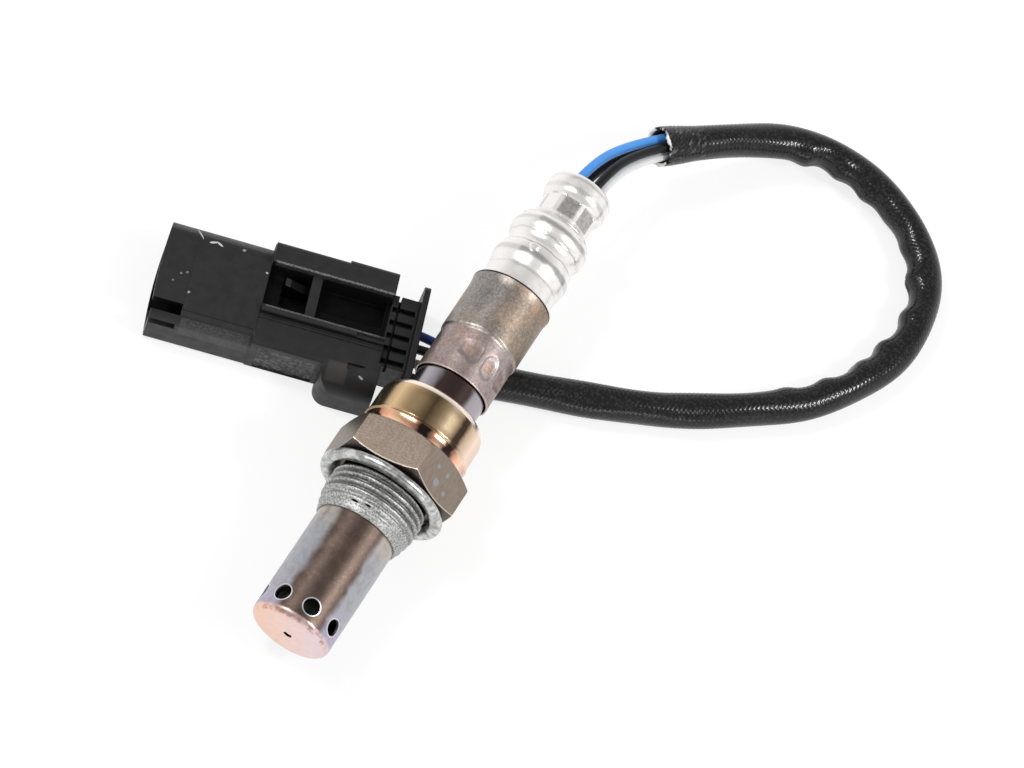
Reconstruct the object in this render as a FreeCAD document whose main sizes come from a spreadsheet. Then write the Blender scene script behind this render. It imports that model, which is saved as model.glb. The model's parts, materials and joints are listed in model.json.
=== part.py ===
import FreeCAD, Part
import math
import os
import Sketcher

# Four-wire oxygen sensor with its short lead and plug, in millimetres.
# Row frame: +Z up, floor at z = 0, the sensor lies along +Y with its tip towards -Y.
# The origin is the middle of the sensor's footprint. Each sensor piece is drawn in the
# sensor's own frame, where Z runs from the tip plane to the cable end, and each plug
# piece in the plug's own frame, where X runs from the mouth to the wires.

SENSOR_SIZES = {
    # Lengths along the sensor, one after the other from the tip plane
    "tube_exposed": 22.3,
    "nose_length": 3.5,
    "thread_length": 4.1,
    "gasket_thickness": 2.15,
    "hex_length": 7.55,
    "groove_length": 2.6,
    "rim_thickness": 0.35,
    "collar_length": 7.25,
    "casing_exposed": 4.7,
    "sleeve_band_length": 9.2,
    "sleeve_top_length": 11.8,
    "cover_band_length": 4.1,
    "bead_length": 4.4,
    "cover_groove_length": 2.6,
    "shoulder_length": 3.7,
    "neck_taper": 2.1,
    "neck_length": 3.7,
    "cap_rise": 1.5,
    "cap_length": 2.6,
    "cap_lip_length": 0.6,
    # Perforated outer tube
    "tube_radius": 7.43,
    "tube_wall": 0.5,
    "tube_edge_radius": 1.4,
    "tube_end_hole_radius": 0.8,
    "tube_hole_radius": 1.5,
    "tube_hole_height": 3.8,
    "tube_hole_count": 8,
    "tube_hole_turn": 23.5,
    "tube_seat_depth": 3.0,
    # Inner tube
    "inner_tube_radius": 5.0,
    "inner_tube_wall": 0.4,
    "inner_tube_tip": 3.0,
    "inner_tube_seat_depth": 2.0,
    "inner_tube_hole_radius": 0.9,
    "inner_tube_hole_height": 13.0,
    "inner_tube_hole_count": 6,
    "inner_tube_end_hole_radius": 1.0,
    # Shell
    "nose_lip_radius": 7.8,
    "nose_radius": 8.35,
    "nose_taper": 2.0,
    "thread_radius": 9.0,
    "thread_chamfer": 0.6,
    "relief_radius": 8.3,
    "hex_across_flats": 22.0,
    "hex_chamfer": 1.0,
    "groove_radius": 9.9,
    "groove_curve": 1.5,
    "rim_radius": 10.2,
    "collar_radius": 9.97,
    "collar_roll_radius": 2.3,
    "element_bore_radius": 4.2,
    "seat_rise": 5.7,
    "packing_bore_radius": 7.0,
    "flange_thickness": 0.8,
    "flange_depth": 3.8,
    "flange_radius": 8.2,
    # Gasket
    "gasket_gap": 0.1,
    "gasket_width": 2.33,
    "gasket_fold_depth": 0.45,
    # Sensing element and its packing
    "element_tip": 6.5,
    "element_radius": 2.9,
    "element_root_radius": 3.4,
    "element_bore": 1.9,
    "element_collar_radius": 6.0,
    "element_collar_length": 3.6,
    "element_tail": 6.0,
    "washer_thickness": 0.6,
    "talc_length": 3.5,
    "heater_radius": 1.5,
    "heater_tip_gap": 3.0,
    "heater_top_depth": 2.0,
    # Casings
    "casing_radius": 6.65,
    "casing_wall": 0.5,
    "casing_step": 0.2,
    "casing_above_step": 2.3,
    "sleeve_wall": 0.3,
    "sleeve_band_radius": 7.25,
    "sleeve_top_radius": 7.5,
    "sleeve_rim_radius": 7.76,
    "sleeve_flare": 1.6,
    "sleeve_step": 0.5,
    "dent_below_step": 2.3,
    "dent_radius": 2.1,
    "dent_depth": 0.16,
    "dent_count": 6,
    "filter_above_step": 1.3,
    "filter_below_rim": 2.5,
    # Silver cover
    "cover_hidden_from": 3.5,
    "cover_radius": 6.9,
    "cover_wall": 0.4,
    "bead_curve": 9.1,
    "cover_groove_curve": 2.3,
    "shoulder_curve": 5.2,
    "neck_radius": 5.37,
    "neck_wall": 0.62,
    "cap_radius": 6.05,
    "cap_curve": 5.7,
    "cap_lip_radius": 5.6,
    "crimp_count": 8,
    "crimp_width": 3.0,
    "crimp_distance": 4.98,
    "crimp_overrun": 0.35,
    "crimp_turn": 12.0,
    # Upper insulator, grommet and wire pattern
    "insulator_radius": 5.9,
    "insulator_flange_radius": 6.4,
    "insulator_flange_length": 2.0,
    "insulator_hole_radius": 1.1,
    "grommet_recess": 0.8,
    "grommet_hole_radius": 0.9,
    "pattern_offset": 1.84,
    "contact_strip_width": 1.2,
    "contact_strip_thickness": 0.4,
    "contact_strip_depth": 16.0,
    "contact_barrel_length": 10.5,
    "wire_start_rise": 2.2,
    "fit_gap": 0.05,
}

PLUG_SIZES = {
    # Plug housing: near is the side towards the sensor, far the other one
    "shroud_length": 18.8,
    "shroud_half_width": 10.05,
    "shroud_height": 9.5,
    "low_corner": 1.0,
    "shroud_near_corner": 2.3,
    "shroud_far_corner": 3.6,
    "panel_start": 5.8,
    "panel_near": 7.65,
    "panel_far": 3.85,
    "panel_rise": 0.2,
    "housing_length": 41.2,
    "housing_half_width": 10.2,
    "housing_corner": 0.5,
    "mouth_bow": 0.5,
    "mouth_depth": 17.0,
    "mouth_wall": 1.3,
    "mouth_low_corner": 0.6,
    "mouth_near_corner": 1.0,
    "mouth_far_corner": 2.3,
    "key_slot_length": 5.6,
    "key_slot_width": 2.05,
    "key_slot_start": 6.7,
    "key_slot_floor": 7.4,
    "side_slot_length": 5.2,
    "side_slot_low": 6.2,
    "side_slot_high": 7.8,
    # Side pad, latch channel, rails and block
    "pad_start": 20.2,
    "pad_end": 30.8,
    "pad_low": 0.9,
    "pad_high": 8.0,
    "pad_depth": 0.3,
    "rail_top": 10.8,
    "rail_start": 18.9,
    "far_rail_inner": 5.85,
    "far_rail_edge": 0.3,
    "far_rail_corner": 1.2,
    "far_step_start": 32.3,
    "far_step": 0.45,
    "near_rail_inner": 2.65,
    "near_rail_width": 1.35,
    "near_rail_edge": 0.4,
    "near_rail_step_start": 36.1,
    "near_rail_step": 0.5,
    "ridge_distance": 4.55,
    "ridge_width": 0.4,
    "ridge_height": 0.3,
    "channel_floor": 7.2,
    "divider_start": 26.5,
    "divider_thickness": 1.8,
    "window_depth": 2.0,
    "front_window_start": 21.8,
    "front_window_near": 0.6,
    "rear_window_end": 40.3,
    "rear_window_near": 0.65,
    "tooth_start": 22.0,
    "tooth_front": 9.7,
    "tooth_back": 8.0,
    "tooth_near": 2.5,
    "tooth_width": 1.5,
    "block_start": 31.6,
    "block_end": 41.7,
    "block_reach": 13.5,
    "block_inner": 7.4,
    "block_plan_corner": 2.6,
    "block_curve": 4.5,
    "notch_start": 35.9,
    "notch_end": 39.3,
    "notch_far": 8.8,
    "notch_near": 10.1,
    "notch_depth": 0.6,
    # Terminals and what holds them
    "row_height": 3.3,
    "row_shift": -0.75,
    "wire_pitch": 3.0,
    "terminal_bore_radius": 1.3,
    "blade_tip": 7.5,
    "blade_width": 2.0,
    "blade_thickness": 0.64,
    "blade_point": 0.8,
    "blade_root": 20.0,
    "terminal_box_end": 34.0,
    "terminal_box_height": 1.5,
    "terminal_end": 41.5,
    "seal_start": 37.0,
    "seal_half_width": 6.4,
    "seal_low": 1.8,
    "seal_high": 4.8,
    "lock_length": 4.9,
    "lock_near": 6.9,
    "lock_far": 7.4,
    "lock_low": 0.3,
    "lock_top": 8.0,
    "lock_hole_radius": 1.05,
    "comb_slot_width": 1.1,
    "comb_slot_depth": 1.4,
    "comb_pitch": 2.6,
    "comb_count": 5,
    "comb_margin": 0.5,
    "comb_groove_start": 1.1,
    "comb_groove_width": 0.45,
    "comb_groove_depth": 2.0,
    "cover_plate_thickness": 1.1,
    "cover_plate_near": 9.6,
    "cover_plate_far": 10.05,
    "cover_plate_top": 10.1,
    "cover_plate_corner": 1.4,
}

LEAD_SIZES = {
    "wire_radius": 0.85,
    "braid_radius": 3.15,
    "braid_wall": 0.5,
    "braid_floor_gap": 0.05,
    "lay_radius": 1.55,
    "lay_turn": 166.0,
    "wire_bend_rise": 4.2,
    "lead_in": 3.0,
    "lead_out": 2.0,
    "plug_bend_length": 4.0,
    # How the sensor and the plug lie
    "lie_tilt": 4.0,
    "lie_roll": -13.7,
    "plug_x": -54.6,
    "plug_y": -3.1,
    "plug_turn": 18.7,
}

# The braid's route from the sensor to the plug: a point's place on the floor, and its
# height above the height at which the braid rests on the floor
BRAID_ROUTE = [
    (6.8, 69.5, 9.6),
    (17.1, 81.9, 5.7),
    (28.9, 91.8, 2.6),
    (42.5, 93.3, 0.8),
    (55.6, 88.0, 0.0),
    (63.1, 77.3, 0.0),
    (63.4, 63.0, 0.0),
    (56.2, 47.9, 0.0),
    (42.4, 35.4, 0.0),
    (25.9, 24.5, 0.0),
    (7.2, 16.4, 0.0),
]

# Each wire's angle in the pattern at the grommet, and its place in the plug's row
WIRES = {
    "wire_blue": (135.0, 1.5),
    "wire_black_1": (45.0, -1.5),
    "wire_black_2": (225.0, 0.5),
    "wire_white": (-45.0, -0.5),
}

CORNER_SHARE = 0.45
FULL_TURN = 360.0
HALF_FLAT_ANGLE = 30.0
CORNER_PER_FLATS = 0.5 / math.cos(math.radians(HALF_FLAT_ANGLE))


class Size:
    """A number that also carries the sheet formula that gives it."""

    def __init__(self, formula, value):
        self.formula = formula
        self.value = value

    def __add__(self, other):
        return joined(self, "+", other, self.value + number(other))

    def __radd__(self, other):
        return joined(other, "+", self, number(other) + self.value)

    def __sub__(self, other):
        return joined(self, "-", other, self.value - number(other))

    def __rsub__(self, other):
        return joined(other, "-", self, number(other) - self.value)

    def __mul__(self, other):
        return joined(self, "*", other, self.value * number(other))

    def __rmul__(self, other):
        return joined(other, "*", self, number(other) * self.value)

    def __truediv__(self, other):
        return joined(self, "/", other, self.value / number(other))

    def __neg__(self):
        return Size("(-1 * " + self.formula + ")", -self.value)


def number(item):
    return item.value if isinstance(item, Size) else float(item)


def formula(item):
    return item.formula if isinstance(item, Size) else "(" + repr(float(item)) + ")"


def joined(left, sign, right, value):
    return Size("(" + formula(left) + " " + sign + " " + formula(right) + ")", value)


class SizeSheet:
    """The document's sheet of driving sizes, read as attributes."""

    def __init__(self, doc, groups):
        self.sheet = doc.addObject("Spreadsheet::Sheet", "sizes")
        row = 1
        for group in groups:
            for alias, value in group.items():
                self.sheet.set("A" + str(row), alias)
                self.sheet.set("B" + str(row), str(value))
                self.sheet.setAlias("B" + str(row), alias)
                setattr(self, alias, Size("sizes." + alias, value))
                row += 1


doc = FreeCAD.newDocument("oxygen_sensor")
d = SizeSheet(doc, [SENSOR_SIZES, PLUG_SIZES, LEAD_SIZES])
doc.recompute()
nodes = {}

# Heights that several sensor pieces share
NOSE = d.tube_exposed
THREAD = NOSE + d.nose_length
GASKET = THREAD + d.thread_length
HEX = GASKET + d.gasket_thickness
HEX_TOP = HEX + d.hex_length
RIM = HEX_TOP + d.groove_length
COLLAR = RIM + d.rim_thickness
COLLAR_TOP = COLLAR + d.collar_length
SLEEVE = COLLAR_TOP + d.casing_exposed
SLEEVE_STEP = SLEEVE + d.sleeve_band_length
SLEEVE_TOP = SLEEVE_STEP + d.sleeve_top_length
BEAD = SLEEVE_TOP + d.cover_band_length
BEAD_END = BEAD + d.bead_length
SHOULDER = BEAD_END + d.cover_groove_length
SHOULDER_END = SHOULDER + d.shoulder_length
NECK = SHOULDER_END + d.neck_taper
NECK_END = NECK + d.neck_length
CAP = NECK_END + d.cap_rise
CAP_END = CAP + d.cap_length
OVERALL = CAP_END + d.cap_lip_length
TUBE_SEAT = NOSE + d.tube_seat_depth
INNER_TUBE_SEAT = TUBE_SEAT + d.inner_tube_seat_depth
WASHER = INNER_TUBE_SEAT + d.seat_rise
ELEMENT_SEAT = WASHER + d.washer_thickness
FLANGE = COLLAR_TOP - d.flange_depth
FLANGE_TOP = FLANGE + d.flange_thickness
CASING_TOP = SLEEVE_STEP + d.casing_above_step
COVER = SLEEVE + d.cover_hidden_from
GROMMET_TOP = OVERALL - d.grommet_recess
CONTACT_BARREL_END = SHOULDER_END + d.wire_start_rise
CONTACT_BARREL = CONTACT_BARREL_END - d.contact_barrel_length

# Radii that two pieces share
GASKET_BORE = d.thread_radius + d.gasket_gap
GASKET_RADIUS = GASKET_BORE + d.gasket_width
CRIMP_BORE = d.casing_radius + d.fit_gap
CASING_NECK = d.casing_radius - d.casing_step
COVER_BORE = d.cover_radius - d.cover_wall
NECK_BORE = d.neck_radius - d.neck_wall
CAP_BORE = d.cap_radius - d.cover_wall
UPPER_BORE = d.insulator_radius + 3 * d.fit_gap

# Stations that two plug pieces share
LOCK_END = d.housing_length + d.lock_length
PLUG_END = LOCK_END + d.cover_plate_thickness


# Document helpers

def origin_item(body, role):
    return [item for item in body.Origin.OriginFeatures if item.Role == role][0]


def new_body(label):
    body = doc.addObject("PartDesign::Body", label)
    body.Label = label
    nodes[label] = body
    return body


def new_sketch(body, role, name, lift=None):
    """A sketch on one of the body's own planes, moved along its normal by lift."""
    sketch = body.newObject("Sketcher::SketchObject", body.Name + "_" + name + "_sketch")
    sketch.AttachmentSupport = [(origin_item(body, role), "")]
    sketch.MapMode = "FlatFace"
    if lift is not None:
        sketch.setExpression(".AttachmentOffset.Base.z", formula(lift))
    return sketch


def hold_number(sketch, constraint, size):
    index = sketch.addConstraint(constraint)
    sketch.setExpression("Constraints[" + str(index) + "]", formula(size))


def hold_point(sketch, shape, end, x, y):
    """Tie one point of a sketch to its sizes, or to an axis where a size is zero."""
    if number(x) == 0.0:
        sketch.addConstraint(Sketcher.Constraint("PointOnObject", shape, end, -2))
    else:
        hold_number(sketch, Sketcher.Constraint("DistanceX", -1, 1, shape, end, number(x)), x)
    if number(y) == 0.0:
        sketch.addConstraint(Sketcher.Constraint("PointOnObject", shape, end, -1))
    else:
        hold_number(sketch, Sketcher.Constraint("DistanceY", -1, 1, shape, end, number(y)), y)


def arc_between(first, last, radius):
    """An arc that bulges to the left of first to last, or to the right if radius is negative."""
    chord = last - first
    middle = (first + last) * 0.5
    left = FreeCAD.Vector(-chord.y, chord.x, 0).normalize()
    rise = math.sqrt(max(radius * radius - chord.Length * chord.Length / 4, 0.0))
    centre = middle - left * math.copysign(rise, radius)
    circle = Part.Circle(centre, FreeCAD.Vector(0, 0, 1), abs(radius))
    start_point = last if radius > 0 else first
    end_point = first if radius > 0 else last
    start = math.atan2(start_point.y - centre.y, start_point.x - centre.x)
    end = math.atan2(end_point.y - centre.y, end_point.x - centre.x)
    if end < start:
        end += 2 * math.pi
    return Part.ArcOfCircle(circle, start, end)


def draw_outline(sketch, points):
    """A closed outline. A point is (x, y), or (x, y, radius) where an arc leaves it."""
    places = [FreeCAD.Vector(number(point[0]), number(point[1]), 0) for point in points]
    ends = []
    for index, point in enumerate(points):
        first = places[index]
        last = places[(index + 1) % len(points)]
        if len(point) == 2:
            shape = sketch.addGeometry(Part.LineSegment(first, last), False)
            ends.append((shape, 1, 2))
        else:
            radius = number(point[2])
            shape = sketch.addGeometry(arc_between(first, last, radius), False)
            ends.append((shape, 2, 1) if radius > 0 else (shape, 1, 2))
    for index, (shape, first_end, last_end) in enumerate(ends):
        next_shape, next_end, unused = ends[(index + 1) % len(ends)]
        sketch.addConstraint(Sketcher.Constraint("Coincident", shape, last_end, next_shape, next_end))
    for point, (shape, first_end, last_end) in zip(points, ends):
        hold_point(sketch, shape, first_end, point[0], point[1])
        if len(point) == 3:
            radius = point[2] if number(point[2]) > 0 else -point[2]
            hold_number(sketch, Sketcher.Constraint("Radius", shape, number(radius)), radius)


def draw_circle(sketch, x, y, radius):
    centre = FreeCAD.Vector(number(x), number(y), 0)
    circle = Part.Circle(centre, FreeCAD.Vector(0, 0, 1), number(radius))
    shape = sketch.addGeometry(circle, False)
    hold_point(sketch, shape, 3, x, y)
    hold_number(sketch, Sketcher.Constraint("Radius", shape, number(radius)), radius)


def box_points(left, low, right, high):
    return [(left, low), (right, low), (right, high), (left, high)]


def round_box_points(left, low, right, high, low_corner, right_corner, left_corner):
    """A box outline whose corners are arcs: one size below, one for each side above."""
    return [
        (left + low_corner, low),
        (right - low_corner, low, -low_corner),
        (right, low + low_corner),
        (right, high - right_corner, -right_corner),
        (right - right_corner, high),
        (left + left_corner, high, -left_corner),
        (left, high - left_corner),
        (left, low + low_corner, -low_corner),
    ]


def revolve(body, name, points):
    """A turned piece. The points are (radius, height) and the axis is the body's Z."""
    sketch = new_sketch(body, "XZ_Plane", name)
    draw_outline(sketch, points)
    turned = body.newObject("PartDesign::Revolution", body.Name + "_" + name)
    turned.Profile = sketch
    turned.ReferenceAxis = (sketch, ["V_Axis"])
    turned.Angle = FULL_TURN
    return turned


def pad(body, name, sketch, length, flip=False):
    feature = body.newObject("PartDesign::Pad", body.Name + "_" + name)
    feature.Profile = sketch
    feature.setExpression("Length", formula(length))
    feature.Reversed = flip
    return feature


def pocket(body, name, sketch, depth, flip=False):
    """Cut the sketch out of the body, and stop if nothing was cut."""
    doc.recompute()
    before = body.Shape.Volume
    feature = body.newObject("PartDesign::Pocket", body.Name + "_" + name)
    feature.Profile = sketch
    feature.setExpression("Length", formula(depth))
    feature.Reversed = flip
    doc.recompute()
    if not body.Shape.Volume < before:
        raise RuntimeError(feature.Name + " cuts nothing")
    return feature


def polar_pattern(body, name, feature, count):
    pattern = body.newObject("PartDesign::PolarPattern", body.Name + "_" + name)
    pattern.Originals = [feature]
    pattern.Axis = (origin_item(body, "Z_Axis"), [""])
    pattern.Angle = FULL_TURN
    pattern.setExpression("Occurrences", formula(count))
    body.Tip = pattern
    return pattern


def tip_height(tilt):
    """How high the tip's centre is when the hexagon, or else the gasket, touches the floor."""
    corner_turn = math.radians(HALF_FLAT_ANGLE - abs(d.lie_roll.value))
    corner_drop = (d.hex_across_flats * CORNER_PER_FLATS).value * math.cos(corner_turn)
    corner_rise = (HEX + d.hex_chamfer).value * math.sin(tilt)
    half = d.gasket_thickness.value / 2
    gasket_drop = (GASKET_RADIUS.value - half) * math.cos(tilt) + half
    gasket_rise = (GASKET.value + half) * math.sin(tilt)
    return max(corner_drop * math.cos(tilt) - corner_rise, gasket_drop - gasket_rise)


def lie_with_sensor(body, turn=0.0):
    """Place a piece of the sensor: lying on its hexagon, its cable end a little higher."""
    tilt = math.radians(d.lie_tilt.value)
    base = FreeCAD.Vector(0, -OVERALL.value * math.cos(tilt) / 2, tip_height(tilt))
    lay_down = FreeCAD.Rotation(FreeCAD.Vector(1, 0, 0), d.lie_tilt.value - 90.0)
    roll = FreeCAD.Rotation(FreeCAD.Vector(0, 0, 1), turn + d.lie_roll.value)
    body.Placement = FreeCAD.Placement(base, lay_down.multiply(roll))


def lie_with_plug(body):
    base = FreeCAD.Vector(d.plug_x.value, d.plug_y.value, 0)
    heading = FreeCAD.Rotation(FreeCAD.Vector(0, 0, 1), d.plug_turn.value)
    body.Placement = FreeCAD.Placement(base, heading)


# Sensor pieces

def make_threaded_shell():
    """Nose, thread, hexagon, stained groove and rolled collar, turned from one bar."""
    body = new_body("threaded_shell")
    corner = d.hex_across_flats * CORNER_PER_FLATS
    flat = d.hex_across_flats / 2
    bore = d.tube_radius + d.fit_gap
    inner_bore = d.inner_tube_radius + d.fit_gap
    flange_bore = d.flange_radius + d.fit_gap
    revolve(body, "turned", [
        (bore, NOSE),
        (d.nose_lip_radius, NOSE),
        (d.nose_radius, NOSE + d.nose_taper),
        (d.nose_radius, THREAD),
        (d.thread_radius, THREAD + d.thread_chamfer),
        (d.thread_radius, GASKET),
        (d.relief_radius, GASKET + d.thread_chamfer),
        (d.relief_radius, HEX),
        (flat, HEX),
        (corner, HEX + d.hex_chamfer),
        (corner, HEX_TOP - d.hex_chamfer),
        (flat, HEX_TOP),
        (d.groove_radius, HEX_TOP, d.groove_curve),
        (d.groove_radius, RIM),
        (d.rim_radius, RIM),
        (d.rim_radius, COLLAR),
        (d.collar_radius, COLLAR),
        (d.collar_radius, COLLAR_TOP - d.collar_roll_radius, -d.collar_roll_radius),
        (d.collar_radius - d.collar_roll_radius, COLLAR_TOP),
        (CRIMP_BORE, COLLAR_TOP),
        (CRIMP_BORE, FLANGE_TOP),
        (flange_bore, FLANGE_TOP),
        (flange_bore, FLANGE),
        (d.packing_bore_radius, FLANGE),
        (d.packing_bore_radius, WASHER),
        (d.element_bore_radius, WASHER),
        (d.element_bore_radius, INNER_TUBE_SEAT),
        (inner_bore, INNER_TUBE_SEAT),
        (inner_bore, TUBE_SEAT),
        (bore, TUBE_SEAT),
    ])
    flats = new_sketch(body, "XY_Plane", "flats", HEX)
    draw_outline(flats, [
        (corner, 0),
        (corner / 2, flat),
        (-corner / 2, flat),
        (-corner, 0),
        (-corner / 2, -flat),
        (corner / 2, -flat),
    ])
    draw_circle(flats, 0, 0, d.hex_across_flats)
    pocket(body, "flats", flats, d.hex_length, flip=True)
    lie_with_sensor(body)


def make_crush_gasket():
    """A rolled ring: round outside, with the fold of its sheet on the thread side."""
    body = new_body("crush_gasket")
    half = d.gasket_thickness / 2
    revolve(body, "ring", [
        (GASKET_BORE, GASKET),
        (GASKET_RADIUS - half, GASKET, -half),
        (GASKET_RADIUS - half, HEX),
        (GASKET_BORE, HEX),
        (GASKET_BORE, HEX - half / 2),
        (GASKET_BORE + d.gasket_fold_depth, GASKET + half),
        (GASKET_BORE, GASKET + half / 2),
    ])
    lie_with_sensor(body)


def cup_points(radius, wall, edge, tip, top, hole):
    """The half section of a thin cup with a hole in the middle of its end."""
    return [
        (hole, tip),
        (radius - edge, tip, -edge),
        (radius, tip + edge),
        (radius, top),
        (radius - wall, top),
        (radius - wall, tip + edge, edge - wall),
        (radius - edge, tip + wall),
        (hole, tip + wall),
    ]


def pierce_wall(body, hole_radius, hole_height, wall_radius, count):
    """A ring of round holes through the side wall."""
    sketch = new_sketch(body, "XZ_Plane", "side_hole")
    draw_circle(sketch, 0, hole_height, hole_radius)
    cut = pocket(body, "side_hole", sketch, wall_radius * 2, flip=True)
    polar_pattern(body, "side_holes", cut, count)


def make_protection_tubes():
    outer = new_body("outer_protection_tube")
    revolve(outer, "cup", cup_points(d.tube_radius, d.tube_wall, d.tube_edge_radius, 0,
                                     TUBE_SEAT, d.tube_end_hole_radius))
    pierce_wall(outer, d.tube_hole_radius, d.tube_hole_height, d.tube_radius, d.tube_hole_count)
    lie_with_sensor(outer, d.tube_hole_turn.value)
    inner = new_body("inner_protection_tube")
    revolve(inner, "cup", cup_points(d.inner_tube_radius, d.inner_tube_wall, d.tube_edge_radius,
                                     d.inner_tube_tip, INNER_TUBE_SEAT, d.inner_tube_end_hole_radius))
    pierce_wall(inner, d.inner_tube_hole_radius, d.inner_tube_hole_height, d.inner_tube_radius,
                d.inner_tube_hole_count)
    lie_with_sensor(inner)


def make_sensing_element():
    """A ceramic thimble with a collar, closed at its tip."""
    body = new_body("sensing_element")
    wall = d.element_radius - d.element_bore
    collar_top = ELEMENT_SEAT + d.element_collar_length
    tail_radius = d.element_root_radius + d.fit_gap * 4
    revolve(body, "thimble", [
        (0, d.element_tip, -d.element_radius),
        (d.element_radius, d.element_tip + d.element_radius),
        (d.element_root_radius, INNER_TUBE_SEAT),
        (d.element_root_radius, ELEMENT_SEAT),
        (d.element_collar_radius, ELEMENT_SEAT),
        (d.element_collar_radius, collar_top),
        (tail_radius, collar_top + d.element_collar_radius - tail_radius),
        (tail_radius, collar_top + d.element_tail),
        (d.element_bore, collar_top + d.element_tail),
        (d.element_bore, d.element_tip + d.element_radius, d.element_bore),
        (0, d.element_tip + wall),
    ])
    lie_with_sensor(body)


def make_ring(label, inner, outer, low, high):
    body = new_body(label)
    revolve(body, "ring", [(inner, low), (outer, low), (outer, high), (inner, high)])
    lie_with_sensor(body)


def make_packing():
    """What seals the element in the shell: washer, talc and a ceramic bush."""
    tail_clear = d.element_root_radius + d.fit_gap * 6
    bore_clear = d.packing_bore_radius - d.fit_gap
    collar_top = ELEMENT_SEAT + d.element_collar_length
    talc_low = collar_top + d.element_collar_radius - d.element_root_radius
    make_ring("packing_washer", d.element_bore_radius + d.fit_gap * 4, bore_clear, WASHER, ELEMENT_SEAT)
    make_ring("talc_packing", tail_clear, bore_clear, talc_low, talc_low + d.talc_length)
    make_ring("lower_insulator", tail_clear, bore_clear, talc_low + d.talc_length, FLANGE)


def make_heater_rod():
    body = new_body("heater_rod")
    tip = d.element_tip + d.heater_tip_gap
    sketch = new_sketch(body, "XY_Plane", "rod", tip)
    draw_circle(sketch, 0, 0, d.heater_radius)
    pad(body, "rod", sketch, CASING_TOP - d.heater_top_depth - tip)
    lie_with_sensor(body)


def make_lower_casing():
    """The dark tube: its flange is held by the rolled collar, its upper end steps in."""
    body = new_body("lower_casing")
    step = COVER - d.casing_step * 2
    revolve(body, "tube", [
        (d.casing_radius - d.casing_wall, FLANGE),
        (d.flange_radius, FLANGE),
        (d.flange_radius, FLANGE_TOP),
        (d.casing_radius, FLANGE_TOP),
        (d.casing_radius, step),
        (CASING_NECK, COVER),
        (CASING_NECK, CASING_TOP),
        (CASING_NECK - d.casing_wall, CASING_TOP),
        (CASING_NECK - d.casing_wall, COVER),
        (d.casing_radius - d.casing_wall, step),
    ])
    lie_with_sensor(body)


def make_outer_sleeve():
    """The heat-stained sleeve: a narrow band, a step, a wide top and six crimp dents."""
    body = new_body("outer_sleeve")
    wall = d.sleeve_wall
    revolve(body, "sleeve", [
        (d.sleeve_band_radius - wall, SLEEVE),
        (d.sleeve_band_radius, SLEEVE),
        (d.sleeve_band_radius, SLEEVE_STEP),
        (d.sleeve_top_radius, SLEEVE_STEP + d.sleeve_step),
        (d.sleeve_top_radius, SLEEVE_TOP - d.sleeve_flare),
        (d.sleeve_rim_radius, SLEEVE_TOP),
        (d.sleeve_rim_radius - wall, SLEEVE_TOP),
        (d.sleeve_top_radius - wall, SLEEVE_TOP - d.sleeve_flare),
        (d.sleeve_top_radius - wall, SLEEVE_STEP + d.sleeve_step),
        (d.sleeve_band_radius - wall, SLEEVE_STEP),
    ])
    dent = new_sketch(body, "XZ_Plane", "dent", d.sleeve_band_radius - d.dent_depth)
    draw_circle(dent, 0, SLEEVE_STEP - d.dent_below_step, d.dent_radius)
    cut = pocket(body, "dent", dent, d.sleeve_band_radius, flip=True)
    polar_pattern(body, "dents", cut, d.dent_count)
    lie_with_sensor(body)


def make_upper_cover():
    """The silver cover: a bead, a groove, a shoulder, a crimped neck and a capped end."""
    body = new_body("upper_cover")
    revolve(body, "cover", [
        (COVER_BORE, COVER),
        (d.cover_radius, COVER),
        (d.cover_radius, BEAD, -d.bead_curve),
        (d.cover_radius, BEAD_END, d.cover_groove_curve),
        (d.cover_radius, SHOULDER, -d.shoulder_curve),
        (d.cover_radius, SHOULDER_END),
        (d.neck_radius, NECK),
        (d.neck_radius, NECK_END),
        (d.cap_radius, CAP, -d.cap_curve),
        (d.cap_radius, CAP_END),
        (d.cap_lip_radius, OVERALL),
        (d.cap_lip_radius - d.cover_wall, OVERALL),
        (CAP_BORE, CAP_END),
        (CAP_BORE, CAP + d.cover_wall),
        (NECK_BORE, NECK_END),
        (NECK_BORE, NECK),
        (UPPER_BORE, SHOULDER_END),
        (UPPER_BORE, BEAD_END),
        (COVER_BORE, BEAD_END - d.cover_wall),
    ])
    low = NECK - d.crimp_overrun
    high = NECK_END + d.crimp_overrun
    flat = new_sketch(body, "XZ_Plane", "crimp", d.crimp_distance)
    draw_outline(flat, box_points(-d.crimp_width / 2, low, d.crimp_width / 2, high))
    cut = pocket(body, "crimp", flat, d.cover_radius, flip=True)
    polar_pattern(body, "crimps", cut, d.crimp_count)
    lie_with_sensor(body, d.crimp_turn.value)


def pattern_places():
    """The four wire places of the grommet, in the sensor's own frame."""
    offset = d.pattern_offset
    return [(offset, offset), (-offset, offset), (-offset, -offset), (offset, -offset)]


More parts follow.
